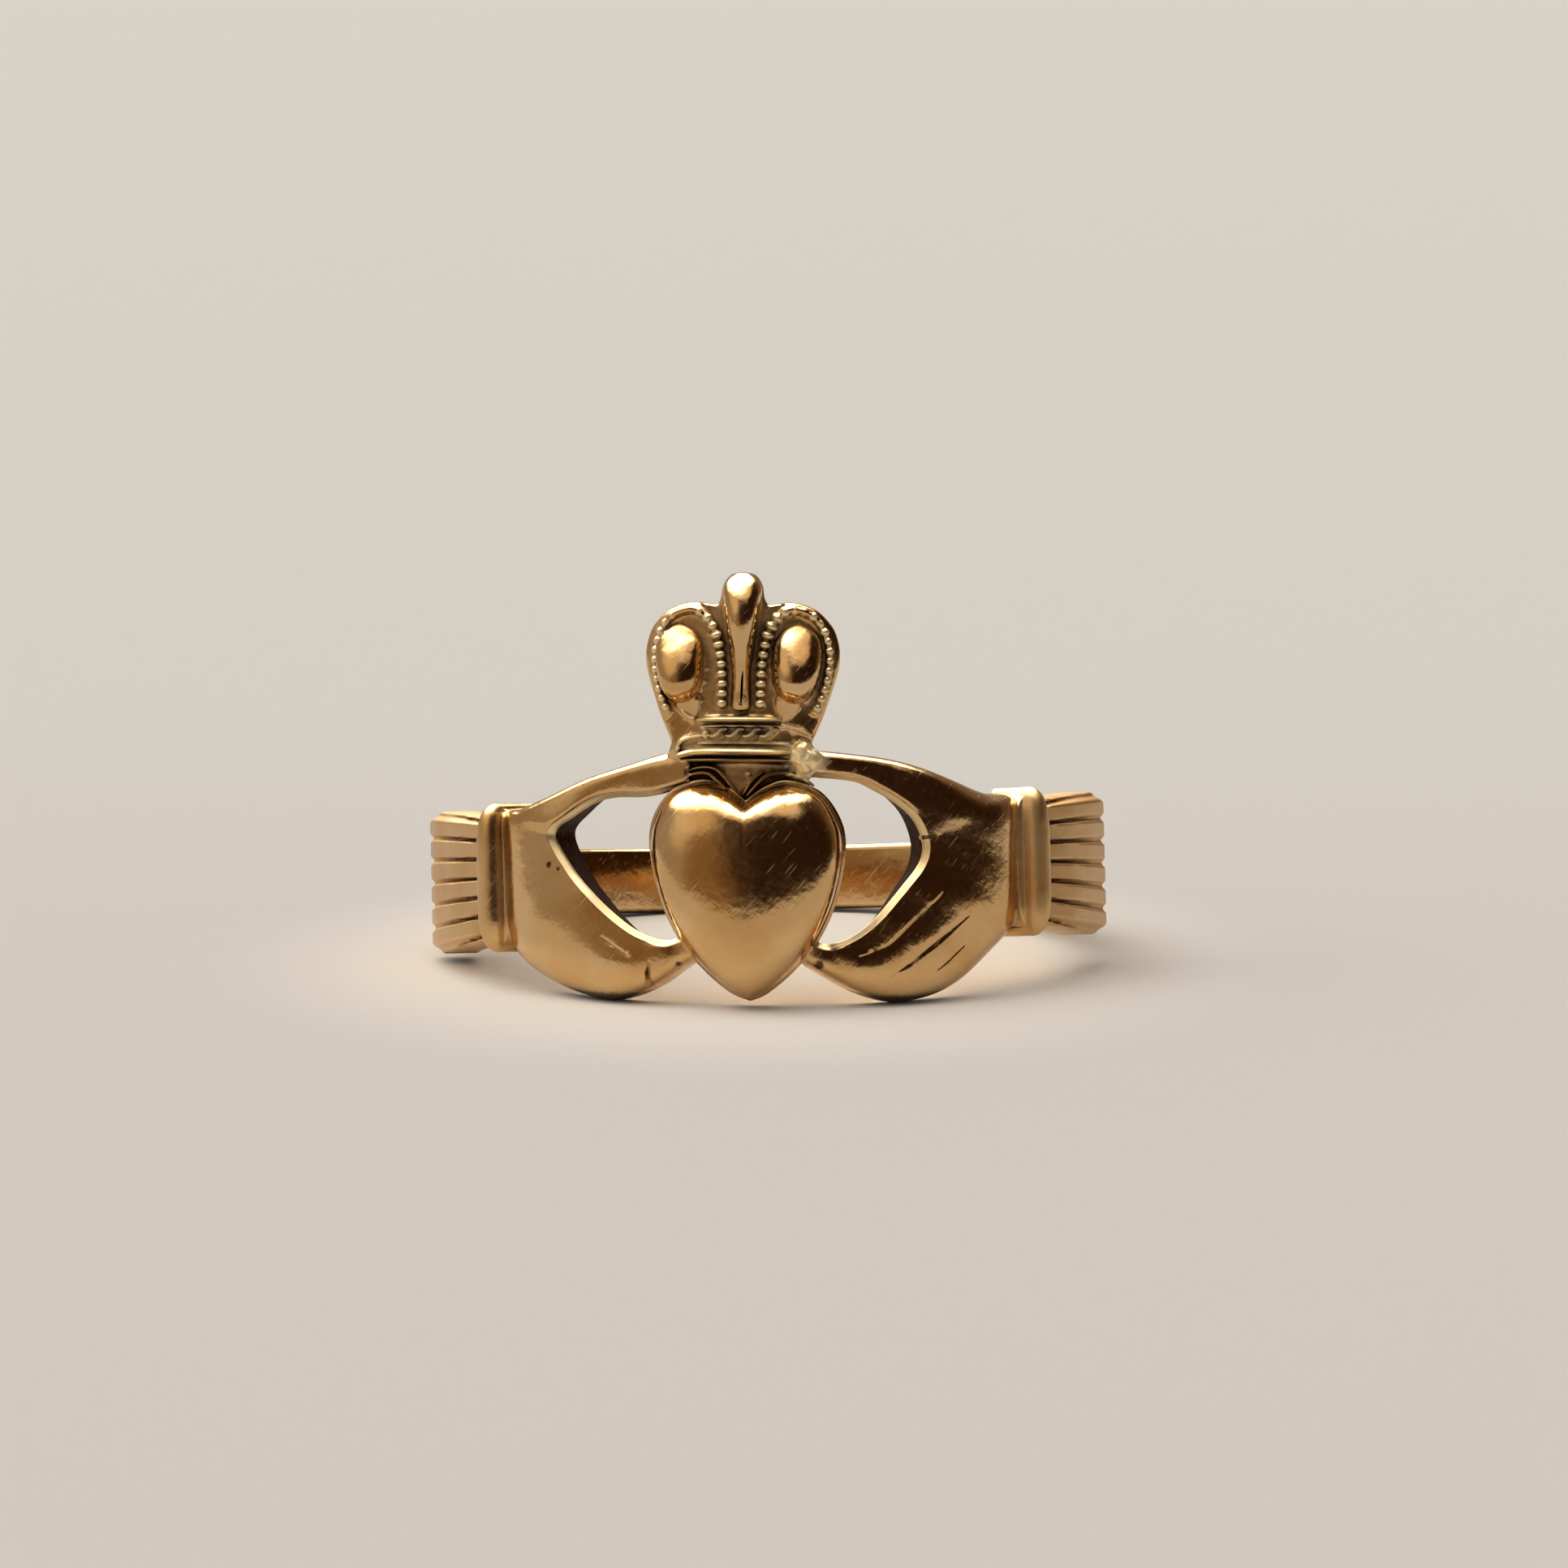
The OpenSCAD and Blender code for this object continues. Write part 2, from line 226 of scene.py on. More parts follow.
def bar(rows: Sequence[Vector], base: float, root: float, facets: int = 12, full: float = 1.0) -> Mesh:
    """Makes a rounded bar that runs along a line and stands on a surface.

    Args:
        rows: Along the finger, up, half width and height over the finger, in turn.
        base: Height over the finger at which the rounding starts.
        root: Height over the finger to which it reaches in.
        facets: Facets over the rounding.
        full: 1 for an oval rounding; less gives a flatter top with steeper flanks.

    Returns:
        The closed bar, still flat.
    """
    arc = [(math.cos(math.pi * k / facets), max(math.sin(math.pi * k / facets), 0.0) ** full)
           for k in range(facets + 1)]
    sections = []
    for i, row in enumerate(rows):
        profile = [(c, base + (row[3] - base) * s) for c, s in arc] + [(-1.0, root), (1.0, root)]
        sections.append(spread(rows, i, profile))
    return loft(sections)


def rubbed_painted_light(mesh: Mesh) -> Mesh:
    """Gives all of a mesh the rubbed finish, whose pale colour is partly a painted highlight."""
    for face in mesh.faces:
        face.material_index = Finish.RUBBED_PAINTED_LIGHT.value
    return mesh


def rod(rows: Sequence[Vector], facets: int = 12) -> Mesh:
    """Makes a rod with an oval section along a line.

    Args:
        rows: Along the finger, up, half width, height of its middle over the finger and
            half depth, in turn.
        facets: Facets round the section.

    Returns:
        The closed rod, still flat.
    """
    turns = [2 * math.pi * k / facets for k in range(facets)]
    return loft([spread(rows, i, [(math.cos(a), row[3] + row[4] * math.sin(a)) for a in turns])
                 for i, row in enumerate(rows)])


def tapered(line: Rows, half: float, middle: float, depth: float, steps: int = 6) -> list[Vector]:
    """Gives a line the rows of a rod that thins out at both ends.

    Args:
        line: Along the finger and up, in turn.
        half: Half width in the middle.
        middle: Height of the rod's middle over the finger.
        depth: Half depth in the middle.
        steps: Pieces between one point and the next.

    Returns:
        The rows, as rod takes them.
    """
    spots = through(line, steps)
    last = len(spots) - 1
    made = []
    for i, p in enumerate(spots):
        full = .25 + .75 * math.sin(math.pi * min(max(i / last, .02), .98)) ** .45
        made.append(Vector((p.x, p.y, half * full, middle, depth * full)))
    return made


# The finger that everything is bent round


@dataclass(frozen=True)
class Finger:
    """The finger hole and the way the ring lies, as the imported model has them."""

    radius: float = 8.65
    front_radius: float = 9.65
    clear_radius: float = 8.85
    motif_turn: float = math.radians(2.1)
    roll: float = math.radians(-1.98855)
    lean: float = math.radians(-9.48192)
    lift: float = 2.47479
    middle: float = -0.779986

    def around(self, angle: float, up: float, over: float) -> Vector:
        """Returns the point at an angle round the finger, which runs from the front to the right."""
        reach = self.radius + over
        return Vector((reach * math.sin(angle), -reach * math.cos(angle), up))

    def point(self, flat: Sequence[float], askew: bool = True) -> Vector:
        """Bends a flat point round the finger.

        Args:
            flat: Along the finger, up, and over the finger.
            askew: Whether it belongs to the motif, which was set a little askew.

        Returns:
            The point on the upright ring.
        """
        x, y, over = flat
        turn = self.motif_turn if askew else 0.0
        angle = (x * math.cos(turn) + y * math.sin(turn)) / self.front_radius
        return self.around(angle, y * math.cos(turn) - x * math.sin(turn), over)

    def bend(self, mesh: Mesh, askew: bool = True) -> Mesh:
        """Bends a flat form round the finger."""
        for vert in mesh.verts:
            vert.co = self.point(vert.co, askew)
        return mesh

    def rest(self) -> Matrix:
        """Returns the move from the upright ring in millimetres to the lying ring in metres."""
        turned = Matrix.Rotation(self.lean, 4, "X") @ Matrix.Rotation(self.roll, 4, "Y")
        return Matrix.Scale(MILLIMETRE, 4) @ Matrix.Translation((0.0, -self.middle, self.lift)) @ turned

    def laid(self, flat: Sequence[float]) -> Vector:
        """Returns where a flat point of the motif comes to lie, in metres."""
        return self.rest() @ self.point(flat)


FINGER = Finger()


# Forms of the ring


@dataclass
class Heart:
    """The domed heart, with a fine rim that shows at the sides and runs out at the tip."""

    width: float = 5.65
    height: float = 6.3
    drop: float = 3.85
    offset: float = -0.1
    tip_shift: float = 0.2
    top: float = 2.7
    wall_top: float = 1.13
    rim_rise: float = 0.05
    rim_width: float = 0.1
    root: float = -0.5
    round_radius: float = 2.7
    middle: tuple[float, float] = (0, 0.55)
    wall_steps: Sequence[float] = (0.1, 0.5, 0.75, 0.95)
    rim_steps: Sequence[float] = (0.08, 0.2, 0.4, 0.6, 0.8, 0.95, 1)
    half: Rows = (
        (0, .905), (.18, .965), (.42, 1), (.74, .955), (.94, .84), (1, .71),
        (.94, .53), (.8, .35), (.56, .185), (.22, .045), (0, 0))
    dome: Rows = (
        (1, 0), (.965, .3), (.9, .53), (.8, .72), (.66, .865), (.47, .955), (.24, .993), (.03, 1))

    def place(self, share: Sequence[float]) -> Vector:
        """Turns shares of the half width and of the height into a flat point."""
        shift = self.offset + self.tip_shift * (1 - share[1])
        return Vector((share[0] * self.width / 2 + shift, share[1] * self.height - self.drop))

    def rim_shown(self, up: float) -> float:
        """Returns how much of the rim shows at a share of the height."""
        return smooth((up - .08) / .3) * (1 - .55 * smooth((up - .84) / .1))

    def forge(self) -> Mesh:
        """Builds the heart: its wall, the fine rim, and the dome, which grows rounder inwards."""
        shares = both_sides(through(self.half, 10))
        middle = self.place(self.middle)
        edge = [self.place(p) for p in shares]
        shown = [self.rim_shown(p.y) for p in shares]
        foot = [e + (middle - e).normalized() * self.rim_width * s for e, s in zip(edge, shown)]
        sections = [[lifted(e, over) for e in edge] for over in (self.root, *self.wall_steps, self.wall_top)]
        for share in self.rim_steps:
            sections.append([lifted(e.lerp(f, share), self.wall_top + self.rim_rise * s * share ** .8)
                             for e, f, s in zip(edge, foot, shown)])

        # The dome starts just inside the rim, and its outline turns to a circle towards the top
        for share, rise in through(self.dome, 5)[1:]:
            soft = 1 - share ** 2.4
            ring = []
            for f, s in zip(foot, shown):
                out = f - middle
                low = self.wall_top + self.rim_rise * s
                spot = middle + share * .985 * out.lerp(out.normalized() * self.round_radius, soft)
                ring.append(lifted(spot, low + (self.top - low) * rise))
            sections.append(ring)
        return loft(sections)


@dataclass
class Crown:
    """The crown: plate, two beaded lobes with egg-shaped bosses, column, ridges and rope."""

    width: float = 5.65
    height: float = 5.45
    foot: float = 2.95
    offset: float = -0.24
    plate_top: float = 1.2
    bead: tuple[float, float, float] = (0.145, 0.118, 0.14)
    bead_pitch: float = 0.28
    bead_over: float = 0.085
    sunk: float = 0.45
    root: float = -0.65
    strand: Rows = ((-.27, 3.7), (-.12, 3.68), (0, 3.75), (.1, 3.86), (.26, 3.87))
    first_strand: float = -0.86
    strand_pitch: float = 0.47
    half: Rows = (
        (0, 1), (.125, .985), (.2, .93), (.225, .86), (.27, .83), (.36, .836), (.5, .842), (.62, .832),
        (.75, .805), (.86, .755), (.95, .69), (1, .59), (.99, .5), (.95, .42), (.9, .34), (.84, .25),
        (.775, .17), (.72, .1), (.69, 0), (0, 0))
    rim: Rows = (
        (.19, .28), (.19, .42), (.21, .56), (.28, .7), (.43, .79), (.6, .79), (.76, .735),
        (.855, .62), (.865, .5), (.81, .36), (.72, .25))
    boss: Rows = (
        (.53, .305, .04, .1), (.535, .32, .1, .4), (.545, .345, .145, .64), (.555, .38, .185, .78),
        (.565, .42, .21, .82), (.575, .47, .23, .78), (.585, .52, .24, .68), (.592, .58, .245, .52),
        (.6, .635, .23, .35), (.6, .68, .185, .2), (.6, .71, .12, .1), (.6, .728, .04, .03))
    facet: Rows = (
        (.44, .2, .02, .03), (.455, .23, .07, .06), (.475, .27, .11, .12), (.5, .31, .14, .19),
        (.52, .34, .13, .22))
    boss_shift: tuple[float, float] = (0.03, -0.04)
    column: Rows = (
        (.27, .05, .2), (.285, .095, .28), (.38, .088, .34), (.46, .09, .42), (.52, .098, .52),
        (.57, .108, .64), (.62, .122, .76), (.68, .14, .84), (.74, .156, .86), (.8, .174, .8),
        (.85, .186, .7), (.89, .195, .58), (.93, .18, .43), (.96, .142, .28), (.988, .07, .1))
    groove: Rows = ((-.17, 6.0), (-.18, 5.6), (-.2, 5.2), (-.21, 4.9), (-.22, 4.62))
    ridges: Sequence[tuple[Rows, float, float, float]] = (
        (((-1.47, 4.14), (-1.2, 4.16), (-.3, 4.17), (.5, 4.17), (.9, 4.15)), .09, .04, .3),
        (((-1.35, 3.96), (-.9, 3.98), (0, 3.98), (.8, 3.97), (1.05, 3.95)), .06, 0, .1),
        (((.85, 4.05), (1.15, 3.97), (1.5, 3.86), (1.75, 3.72)), .09, -.04, .18),
        (((-2.03, 3.36), (-1.93, 3.52), (-1.76, 3.62), (-1.52, 3.68), (-1.27, 3.7)), .075, .03, .14),
        (((-1.95, 4.6), (-1.86, 4.4), (-1.68, 4.22), (-1.52, 4.18)), .07, .02, .12),
        (((-1.4, 3.46), (-.6, 3.48), (.3, 3.48), (1.15, 3.46)), .05, -.02, .09),
        (((-2.02, 3.1), (-1.8, 3.17), (-1.4, 3.24), (-.4, 3.245), (.6, 3.24), (1.2, 3.23)), .13, .02, .38),
        (((-1.95, 2.99), (-1.4, 3.02), (0, 3.02), (1.2, 3.01)), .06, -.05, .25))
    grains: Rows = ((-1.22, 3.73, .115, .05), (-2.0, 3.33, .08, .05), (-.02, 2.62, .07, -.27))

    def place(self, share: Sequence[float]) -> Vector:
        """Turns shares of the half width and of the height into a flat point."""
        return Vector((share[0] * self.width / 2 + self.offset, self.foot + share[1] * self.height))

    def plate(self) -> Mesh:
        """Builds the plate with its rounded edge."""
        outline = [self.place(p) for p in both_sides(through(self.half, 6))]
        middle = self.place((0, .5))
        steps = [(1, self.root), (1, .2), (1, .6), (1, self.plate_top - .3), (.996, self.plate_top - .2),
                 (.985, self.plate_top - .09), (.97, self.plate_top - .02), (.95, self.plate_top)]
        steps += [(.95 - .07 * k, self.plate_top) for k in range(1, 13)]
        return loft([[lifted(middle + share * (p - middle), over) for p in outline] for share, over in steps])

    def lobe_line(self, side: Side, steps: int) -> list[Vector]:
        """Returns the line of a lobe's rim, foot to waist."""
        return [self.place((side.value * p.x, p.y)) for p in through(self.rim, steps)]

    def lobe(self, side: Side) -> Iterator[Mesh]:
        """Builds a lobe's low rim, which is fuller over the top, and its boss."""
        line = self.lobe_line(side, 5)
        rim = []
        for i, p in enumerate(line):
            full = math.exp(-((i / len(line) - .45) / .16) ** 2)
            rim.append(Vector((p.x, p.y, .1 + .04 * full, self.plate_top + .09 + .15 * full)))
        yield bar(rim, self.plate_top - .04, self.plate_top - self.sunk, 10)
        for rows in (self.facet, self.boss):
            yield self.mound(rows, side.value, self.boss_shift[side is Side.RIGHT])

    def mound(self, rows: Rows, sign: int = 1, shift: float = 0.0) -> Mesh:
        """Builds a rounded mound on the plate.

        Args:
            rows: Place and half width as shares, and height over the plate, in turn.
            sign: 1 on the right and -1 on the left.
            shift: How far it stands out from its place, as a share.

        Returns:
            The closed mound, still flat.
        """
        made = []
        for row in through(rows, 5):
            spot = self.place((sign * (row[0] + shift), row[1]))
            made.append(Vector((spot.x, spot.y, row[2] * self.width / 2, self.plate_top + row[3])))
        return bar(made, self.plate_top - .12, self.plate_top - self.sunk - .05, 28, .62)

    def beads(self, side: Side) -> Mesh:
        """Sets a row of beads along a lobe's rim, none touching the next."""
        mesh = bmesh.new()
        line = self.lobe_line(side, 12)
        wide, long, high = self.bead
        walked = self.bead_pitch / 2
        for a, b in zip(line, line[1:]):
            length = (b - a).length
            while walked <= length:
                spot = a.lerp(b, walked / length)
                turn = math.atan2(b.y - a.y, b.x - a.x)
                # Fuller at the top inner corner, and worn down towards the outside
                share = spot.x * side.value / self.width * 2
                corner = math.exp(-((spot.y - 6.75) / .5) ** 2) * (share < .35)
                worn = 1.08 + .3 * corner - .28 * smooth((share - .35) / .4)
                worn += .16 * noise.noise(spot.to_3d() * 3.7)
                bed = Matrix.Translation(lifted(spot, self.plate_top + self.bead_over))
                shape = Matrix.Rotation(turn, 4, "Z") @ Matrix.Diagonal((long, wide * worn, high * worn, 1))
                bmesh.ops.create_icosphere(mesh, subdivisions=3, radius=1.0, matrix=bed @ shape)
                walked += self.bead_pitch
            walked -= length
        return mesh

    def middle_column(self) -> Mesh:
        """Builds the column and the knob on top of it."""
        return self.mound([(0, *row) for row in self.column])

    def column_groove(self) -> Mesh:
        """Builds the cutter for the fine groove down the column."""
        return rod(tapered(self.groove, .04, self.plate_top + .3, .14, 4), 8)

    def foot_ridges(self) -> Iterator[Mesh]:
        """Builds the ridges, the ledge and the leaf ends across the crown's foot."""
        for line, half, over, depth in self.ridges:
            yield rod(tapered(line, half, self.plate_top + over, depth))

    def rope(self) -> Iterator[Mesh]:
        """Lays a row of slanted strands between the ridges, each over the end of the last."""
        for k in range(4):
            line = [(self.first_strand + self.strand_pitch * k + x, y) for x, y in self.strand]
            yield rod(tapered(line, .075, self.plate_top + .05 + .012 * (k % 2), .22, 5), 10)
        grains = bmesh.new()
        for x, y, size, over in self.grains:
            spot = Matrix.Translation((x, y, self.plate_top + over))
            bmesh.ops.create_icosphere(grains, subdivisions=3, radius=size, matrix=spot)
        yield grains

    def forge(self) -> Iterator[tuple[Mesh, Join]]:
        """Builds the crown's forms in the order in which they are fused or cut."""
        yield self.plate(), Join.FUSE
        for side in Side:
            for mesh in self.lobe(side):
                yield mesh, Join.FUSE
            # The beads take the rubbed finish, paled with painted highlight
            yield rubbed_painted_light(self.beads(side)), Join.FUSE
        yield self.middle_column(), Join.FUSE
        # So do the ridges and the rope
        for mesh in (*self.foot_ridges(), *self.rope()):
            yield rubbed_painted_light(mesh), Join.FUSE
        yield self.column_groove(), Join.CUT


@dataclass
class Hand:
    """One hand: a bow from the thumb round the palm to the fingers, open beside the heart."""

    side: Side
    reach: float
    rows: Rows
    strokes: Sequence[Rows]
    height: float = 7.2
    drop: float = 3.85
    thickness: float = 1.7
    lip: float = 0.145
    root: float = -0.35
    palm: Rows = (
        (0, .935), (.04, .945), (.1, .96), (.2, .98), (.32, 1), (.45, 1.005), (.58, .98), (.7, .94),
        (.8, .88), (.88, .79), (.93, .7), (.97, .6), (1, .46))
    thumb: Rows = (
        (0, .955), (.03, .98), (.08, .994), (.16, .999), (.3, 1), (.45, .997), (.58, .989), (.7, .971),
        (.8, .937), (.88, .875), (.94, .785), (.98, .67), (1, .5))
    mouth: Rows = (
        (2.3, -.25), (2.0, 0), (1.3, .3), (.4, .6), (0, .79), (.04, .81), (.3, .845), (.6, .88),
        (.88, .915), (.98, .928))

    def section(self, row: Vector) -> Loop:
        """Lays one section across the hand.

        Args:
            row: The opening's lip and the outer edge, each as shares along the finger and up, and
                the share of the hand's thickness.

        Returns:
            The points from the finger side of the opening over the palm to the outer edge.
        """
        sign = self.side.value
        inner = Vector((sign * row[0] * self.reach, row[1] * self.height - self.drop))
        outer = Vector((sign * row[2] * self.reach, row[3] * self.height - self.drop))
        thick = row[4] * self.thickness
        wide = (outer - inner).length
        lip = min(self.lip / wide, .3)

        # A section up to 1.3 mm wide is round like a thumb, and from 2.5 mm on flat like a palm
        broad = smooth((wide - 1.3) / 1.2)
        profile = [(lip * share, high * thick) for share, high in self.mouth]
        body = [Vector(t).lerp(Vector(p), broad) for t, p in zip(self.thumb, self.palm)]
        profile += [(lip + (1 - lip) * share, high * thick) for share, high in through(body, 2)]
        profile += [(1.0, .2 * thick), (1.0, self.root)]
        return [lifted(inner.lerp(outer, share), over) for share, over in profile]

    def forge(self) -> Mesh:
        """Builds the hand."""
        # The opening's wall takes the finish darkened with painted shade, and its lip the finish paled with
        # painted highlight
        finishes = [Finish.UNPOLISHED_PAINTED_SHADE] * 4 + [Finish.RUBBED_PAINTED_LIGHT] * 5
        return loft([self.section(row) for row in through(self.rows, 9)], finishes)

    def gravers(self, flat: Mesh) -> Iterator[Mesh]:
        """Builds the cutters for the strokes, each seated on the hand's surface.

        Args:
            flat: The hand before it is bent.

        Yields:
            The cutters, still flat.
        """
        surface = BVHTree.FromBMesh(flat)
        for stroke in self.strokes:
            rows = []
            for x, y, half, depth in through(stroke, 7):
                hit = surface.ray_cast(Vector((x, y, 9.0)), Vector((0, 0, -1)))[0]
                rows.append(Vector((x, y, max(half, .012), (hit.z if hit else 1.0) + .02, max(depth, .02))))
            yield rod(rows, 10)


LEFT_HAND = Hand(
    Side.LEFT, 8.1,
    ((.21, .847, .21, 1, .72), (.36, .806, .32, .979, .72), (.488, .801, .457, .933, .78),
     (.57, .776, .605, .882, .85), (.651, .718, .765, .81, .95), (.701, .681, .889, .763, 1),
     (.716, .646, 1, .739, 1), (.694, .604, 1, .52, 1), (.654, .544, 1, .354, 1), (.617, .493, .988, .229, 1),
     (.558, .426, .9, .129, 1), (.484, .349, .741, .049, .95), (.404, .282, .568, 0, .9),
     (.338, .247, .457, .007, .85), (.284, .235, .333, .058, .8), (.241, .251, .241, .122, .75),
     (.16, .285, .16, .18, .72)),
    strokes=(
        ((-4.2, -2.02, .01, .02), (-3.92, -2.2, .05, .06), (-3.43, -2.55, .05, .06), (-3.2, -2.7, .01, .02)),
        ((-2.72, -2.75, .02, .03), (-2.76, -3.0, .07, .14), (-2.8, -3.35, .08, .2), (-2.88, -3.75, .04, .1))))
RIGHT_HAND = Hand(
    Side.RIGHT, 8.8,
    ((.193, .889, .193, 1, .72), (.339, .875, .33, .989, .72), (.409, .84, .466, .972, .76),
     (.466, .801, .577, .943, .85), (.517, .75, .705, .896, .95), (.548, .692, .841, .851, 1),
     (.565, .629, 1, .833, 1), (.56, .576, 1, .618, 1), (.539, .528, 1, .437, 1), (.5, .469, .966, .31, 1),
     (.46, .407, .864, .201, .97), (.419, .346, .749, .094, .95), (.375, .293, .636, .032, .9),
     (.33, .254, .51, .005, .85), (.284, .233, .375, .038, .8), (.244, .231, .25, .107, .75),
     (.148, .271, .148, .174, .72)),
    strokes=(
        ((4.6, .84, .05, .3), (4.85, .86, .06, .25), (5.1, .9, .05, .14), (5.35, .95, .02, .04)),
        ((5.55, -.6, .02, .02), (5.2, -1.02, .09, .04), (4.6, -1.62, .13, .06), (3.99, -2.21, .11, .05),
         (3.5, -2.45, .08, .04), (3.05, -2.6, .02, .02)),
        ((6.4, -1.25, .02, .02), (5.95, -1.6, .08, .04), (5.17, -2.21, .12, .06), (4.6, -2.68, .1, .055),
         (4.1, -3.08, .02, .02)),
        ((6.4, -2.03, .02, .02), (6.0, -2.38, .08, .035), (5.6, -2.74, .08, .04), (5.25, -3.05, .02, .02))))


@dataclass
class BackPlate:
    """The plate behind the heart's lobes, up to the crown's foot, and the fine rims on it."""

    top: float = 0.92
    root: float = -0.28
    rims: Sequence[tuple[Rows, float, float]] = (
        (((-1.98, 2.6), (-1.6, 2.75), (-1.29, 2.8), (-1.03, 2.77), (-.85, 2.66), (-.6, 2.37), (-.39, 2.09),
          (-.24, 1.9)), .07, 1.02),
        (((-2.0, 2.38), (-1.8, 2.53), (-1.45, 2.62), (-1.16, 2.61), (-.94, 2.44), (-.62, 2.16),
          (-.38, 1.95)), .065, 1.12),
        (((-.2, 1.96), (-.02, 2.26), (.2, 2.52), (.42, 2.7)), .06, 1.0),
        (((-.06, 1.98), (.2, 2.28), (.45, 2.52), (.78, 2.63), (1.12, 2.61), (1.55, 2.48),
          (1.85, 2.3)), .07, 1.1))

    def forge(self, heart: Heart, crown: Crown) -> Iterator[Mesh]:
        """Builds the plate and its rims.

        Args:
            heart: The heart whose notch the plate fills.
            crown: The crown whose foot it reaches.

        Yields:
            The plate and then each rim, still flat.
        """
        low, high = heart.place((0, .84)).y, crown.place((0, .05)).y
        half = crown.place((.72, 0)).x
        corners = [(half, high), (-half, high), (-half, low + .3), (0, low), (half, low + .3)]
        middle = Vector((0, (low + high) / 2))
        outline = []
        for (ax, ay), (bx, by) in zip(corners, corners[1:] + corners[:1]):
            outline += [Vector((ax + (bx - ax) * k / 16, ay + (by - ay) * k / 16)) for k in range(16)]
        steps = [(1, self.root), (1, .4), (1, self.top - .02)] + [(.9 - .1 * k, self.top) for k in range(9)]
        yield loft([[lifted(middle + share * (p - middle), over) for p in outline] for share, over in steps])
        for line, half_width, over in self.rims:
            yield rod(tapered(line, half_width, over, .13, 5), 10)


@dataclass
class Cuff:
    """The rounded bead at a hand's wrist and the low collars beside it."""

    along: float
    hang: float = 0.0
    height: float = 4.3
    bead: tuple[float, float] = (0.4, 2.05)
    collar: tuple[float, float] = (0.58, 1.55)
    collar_reach: float = 0.465
    bead_reach: float = 0.505
    foot: float = 1.4
    root: float = -0.55
    bead_root: float = -0.48

    def forge(self) -> Iterator[Mesh]:
        """Builds the collars as one low bar, and the bead on it."""
        for (half, top), reach, root in ((self.collar, self.collar_reach, self.root),
                                         (self.bead, self.bead_reach, self.bead_root)):
            rows = []
            for k in range(41):
                # The sections crowd together at both ends, where the bar closes
                t = math.cos(math.radians(6 + 4.2 * k))
                full = (1 - abs(t) ** 5) ** .5
                rows.append(Vector((self.along, -t * self.height * reach - self.hang, half * full,
                                    self.foot + (top - self.foot) * full)))
            yield bar(rows, self.foot, root, 24, .6)


@dataclass
class Sleeve:
    """A pleated sleeve that widens away from its cuff, with grooves either side of a middle one."""

    cuff: float
    end: float
    hang: float = 0.0
    height: float = 3.6
    end_height: float = 4.35
    top: float = 1.5
    pitch: float = 0.31
    depth: float = 0.2
    root: float = -0.45
    grooves: int = 3
    points: int = 54
    corner: float = 0.3
    edge_drop: float = 0.35
    end_drop: float = 0.1

    def section(self, share: float) -> Loop:
        """Lays one upright section across the sleeve.

        Args:
            share: How far it is from the cuff to the open end, from 0 to 1.

        Returns:
            The points, in their place round the finger.
        """
        angle = self.cuff + (self.end - self.cuff) * share

        # The pleats fan out evenly as the viewer sees them, and the open end has round corners
        seen = (math.sin(angle) - math.sin(self.cuff)) / (math.sin(self.end) - math.sin(self.cuff))
        fan = (.77 + .23 * seen) * self.end_height / 2
        corner = self.corner * max(0.0, (share - .82) / .18) ** 2
        half = (self.height + (self.end_height - self.height) * share) / 2 - corner

        # The grooves begin just behind the cuff, and grow shallower and wider from there
        cut = self.depth * smooth((share - .07) / .05) * (1 - .45 * smooth((share - .1) / .8))
        wide = .13 + .12 * share
        drop = self.end_drop * smooth((share - .9) / .1)
        made = []
        for k in range(2 * self.points + 1):
            v = 1 - k / self.points
            phase = half * v / fan / self.pitch
            off = abs(phase - round(phase)) / wide if abs(round(phase)) <= self.grooves else 1.0
            edge = 1 - max(0.0, (abs(v) - .86) / .14)
            over = self.top - cut * (1 - smooth(off)) - self.edge_drop * (1 - edge ** .5) - drop
            made.append((half * v - self.hang, over))
        made += [(-half - self.hang, .5), (-half - self.hang, self.root),
                 (half - self.hang, self.root), (half - self.hang, .5)]
        return [FINGER.around(angle, up, over) for up, over in made]

    def forge(self) -> Mesh:
        """Builds the sleeve in its place round the finger."""
        return loft([self.section(k / 40) for k in range(41)])


@dataclass
class Band:
    """The plain half-round band, open where the motif carries on."""

    width: float = 2.0
    thickness: float = 1.3
    edge: float = 0.2
    end: float = math.radians(39.5)

    def forge(self) -> Mesh:
        """Spins the half-round profile round the finger."""
        mesh = bmesh.new()
        reach = FINGER.radius
        points = []

        # Half round outside
        for k in range(25):
            a = math.pi * k / 24
            points.append((reach + self.edge + (self.thickness - self.edge) * math.sin(a),
                           -self.width / 2 * math.cos(a)))

        # Rounded edges inside
        for sign in (1, -1):
            corner = []
            for k in range(1, 5):
                a = math.pi / 2 * k / 4
                corner.append((reach + self.edge - self.edge * math.sin(a),
                               sign * (self.width / 2 - self.edge + self.edge * math.cos(a))))
            points += corner if sign > 0 else corner[::-1]
        start = Matrix.Rotation(self.end, 4, "Z")
        verts = [mesh.verts.new(start @ Vector((0, -r, up))) for r, up in points]
        face = mesh.faces.new(verts)
        bmesh.ops.spin(mesh, geom=[face], cent=(0, 0, 0), axis=(0, 0, 1), dvec=(0, 0, 0),
                       angle=2 * (math.pi - self.end), steps=216, use_merge=False)
        bmesh.ops.recalc_face_normals(mesh, faces=mesh.faces[:])
        return mesh


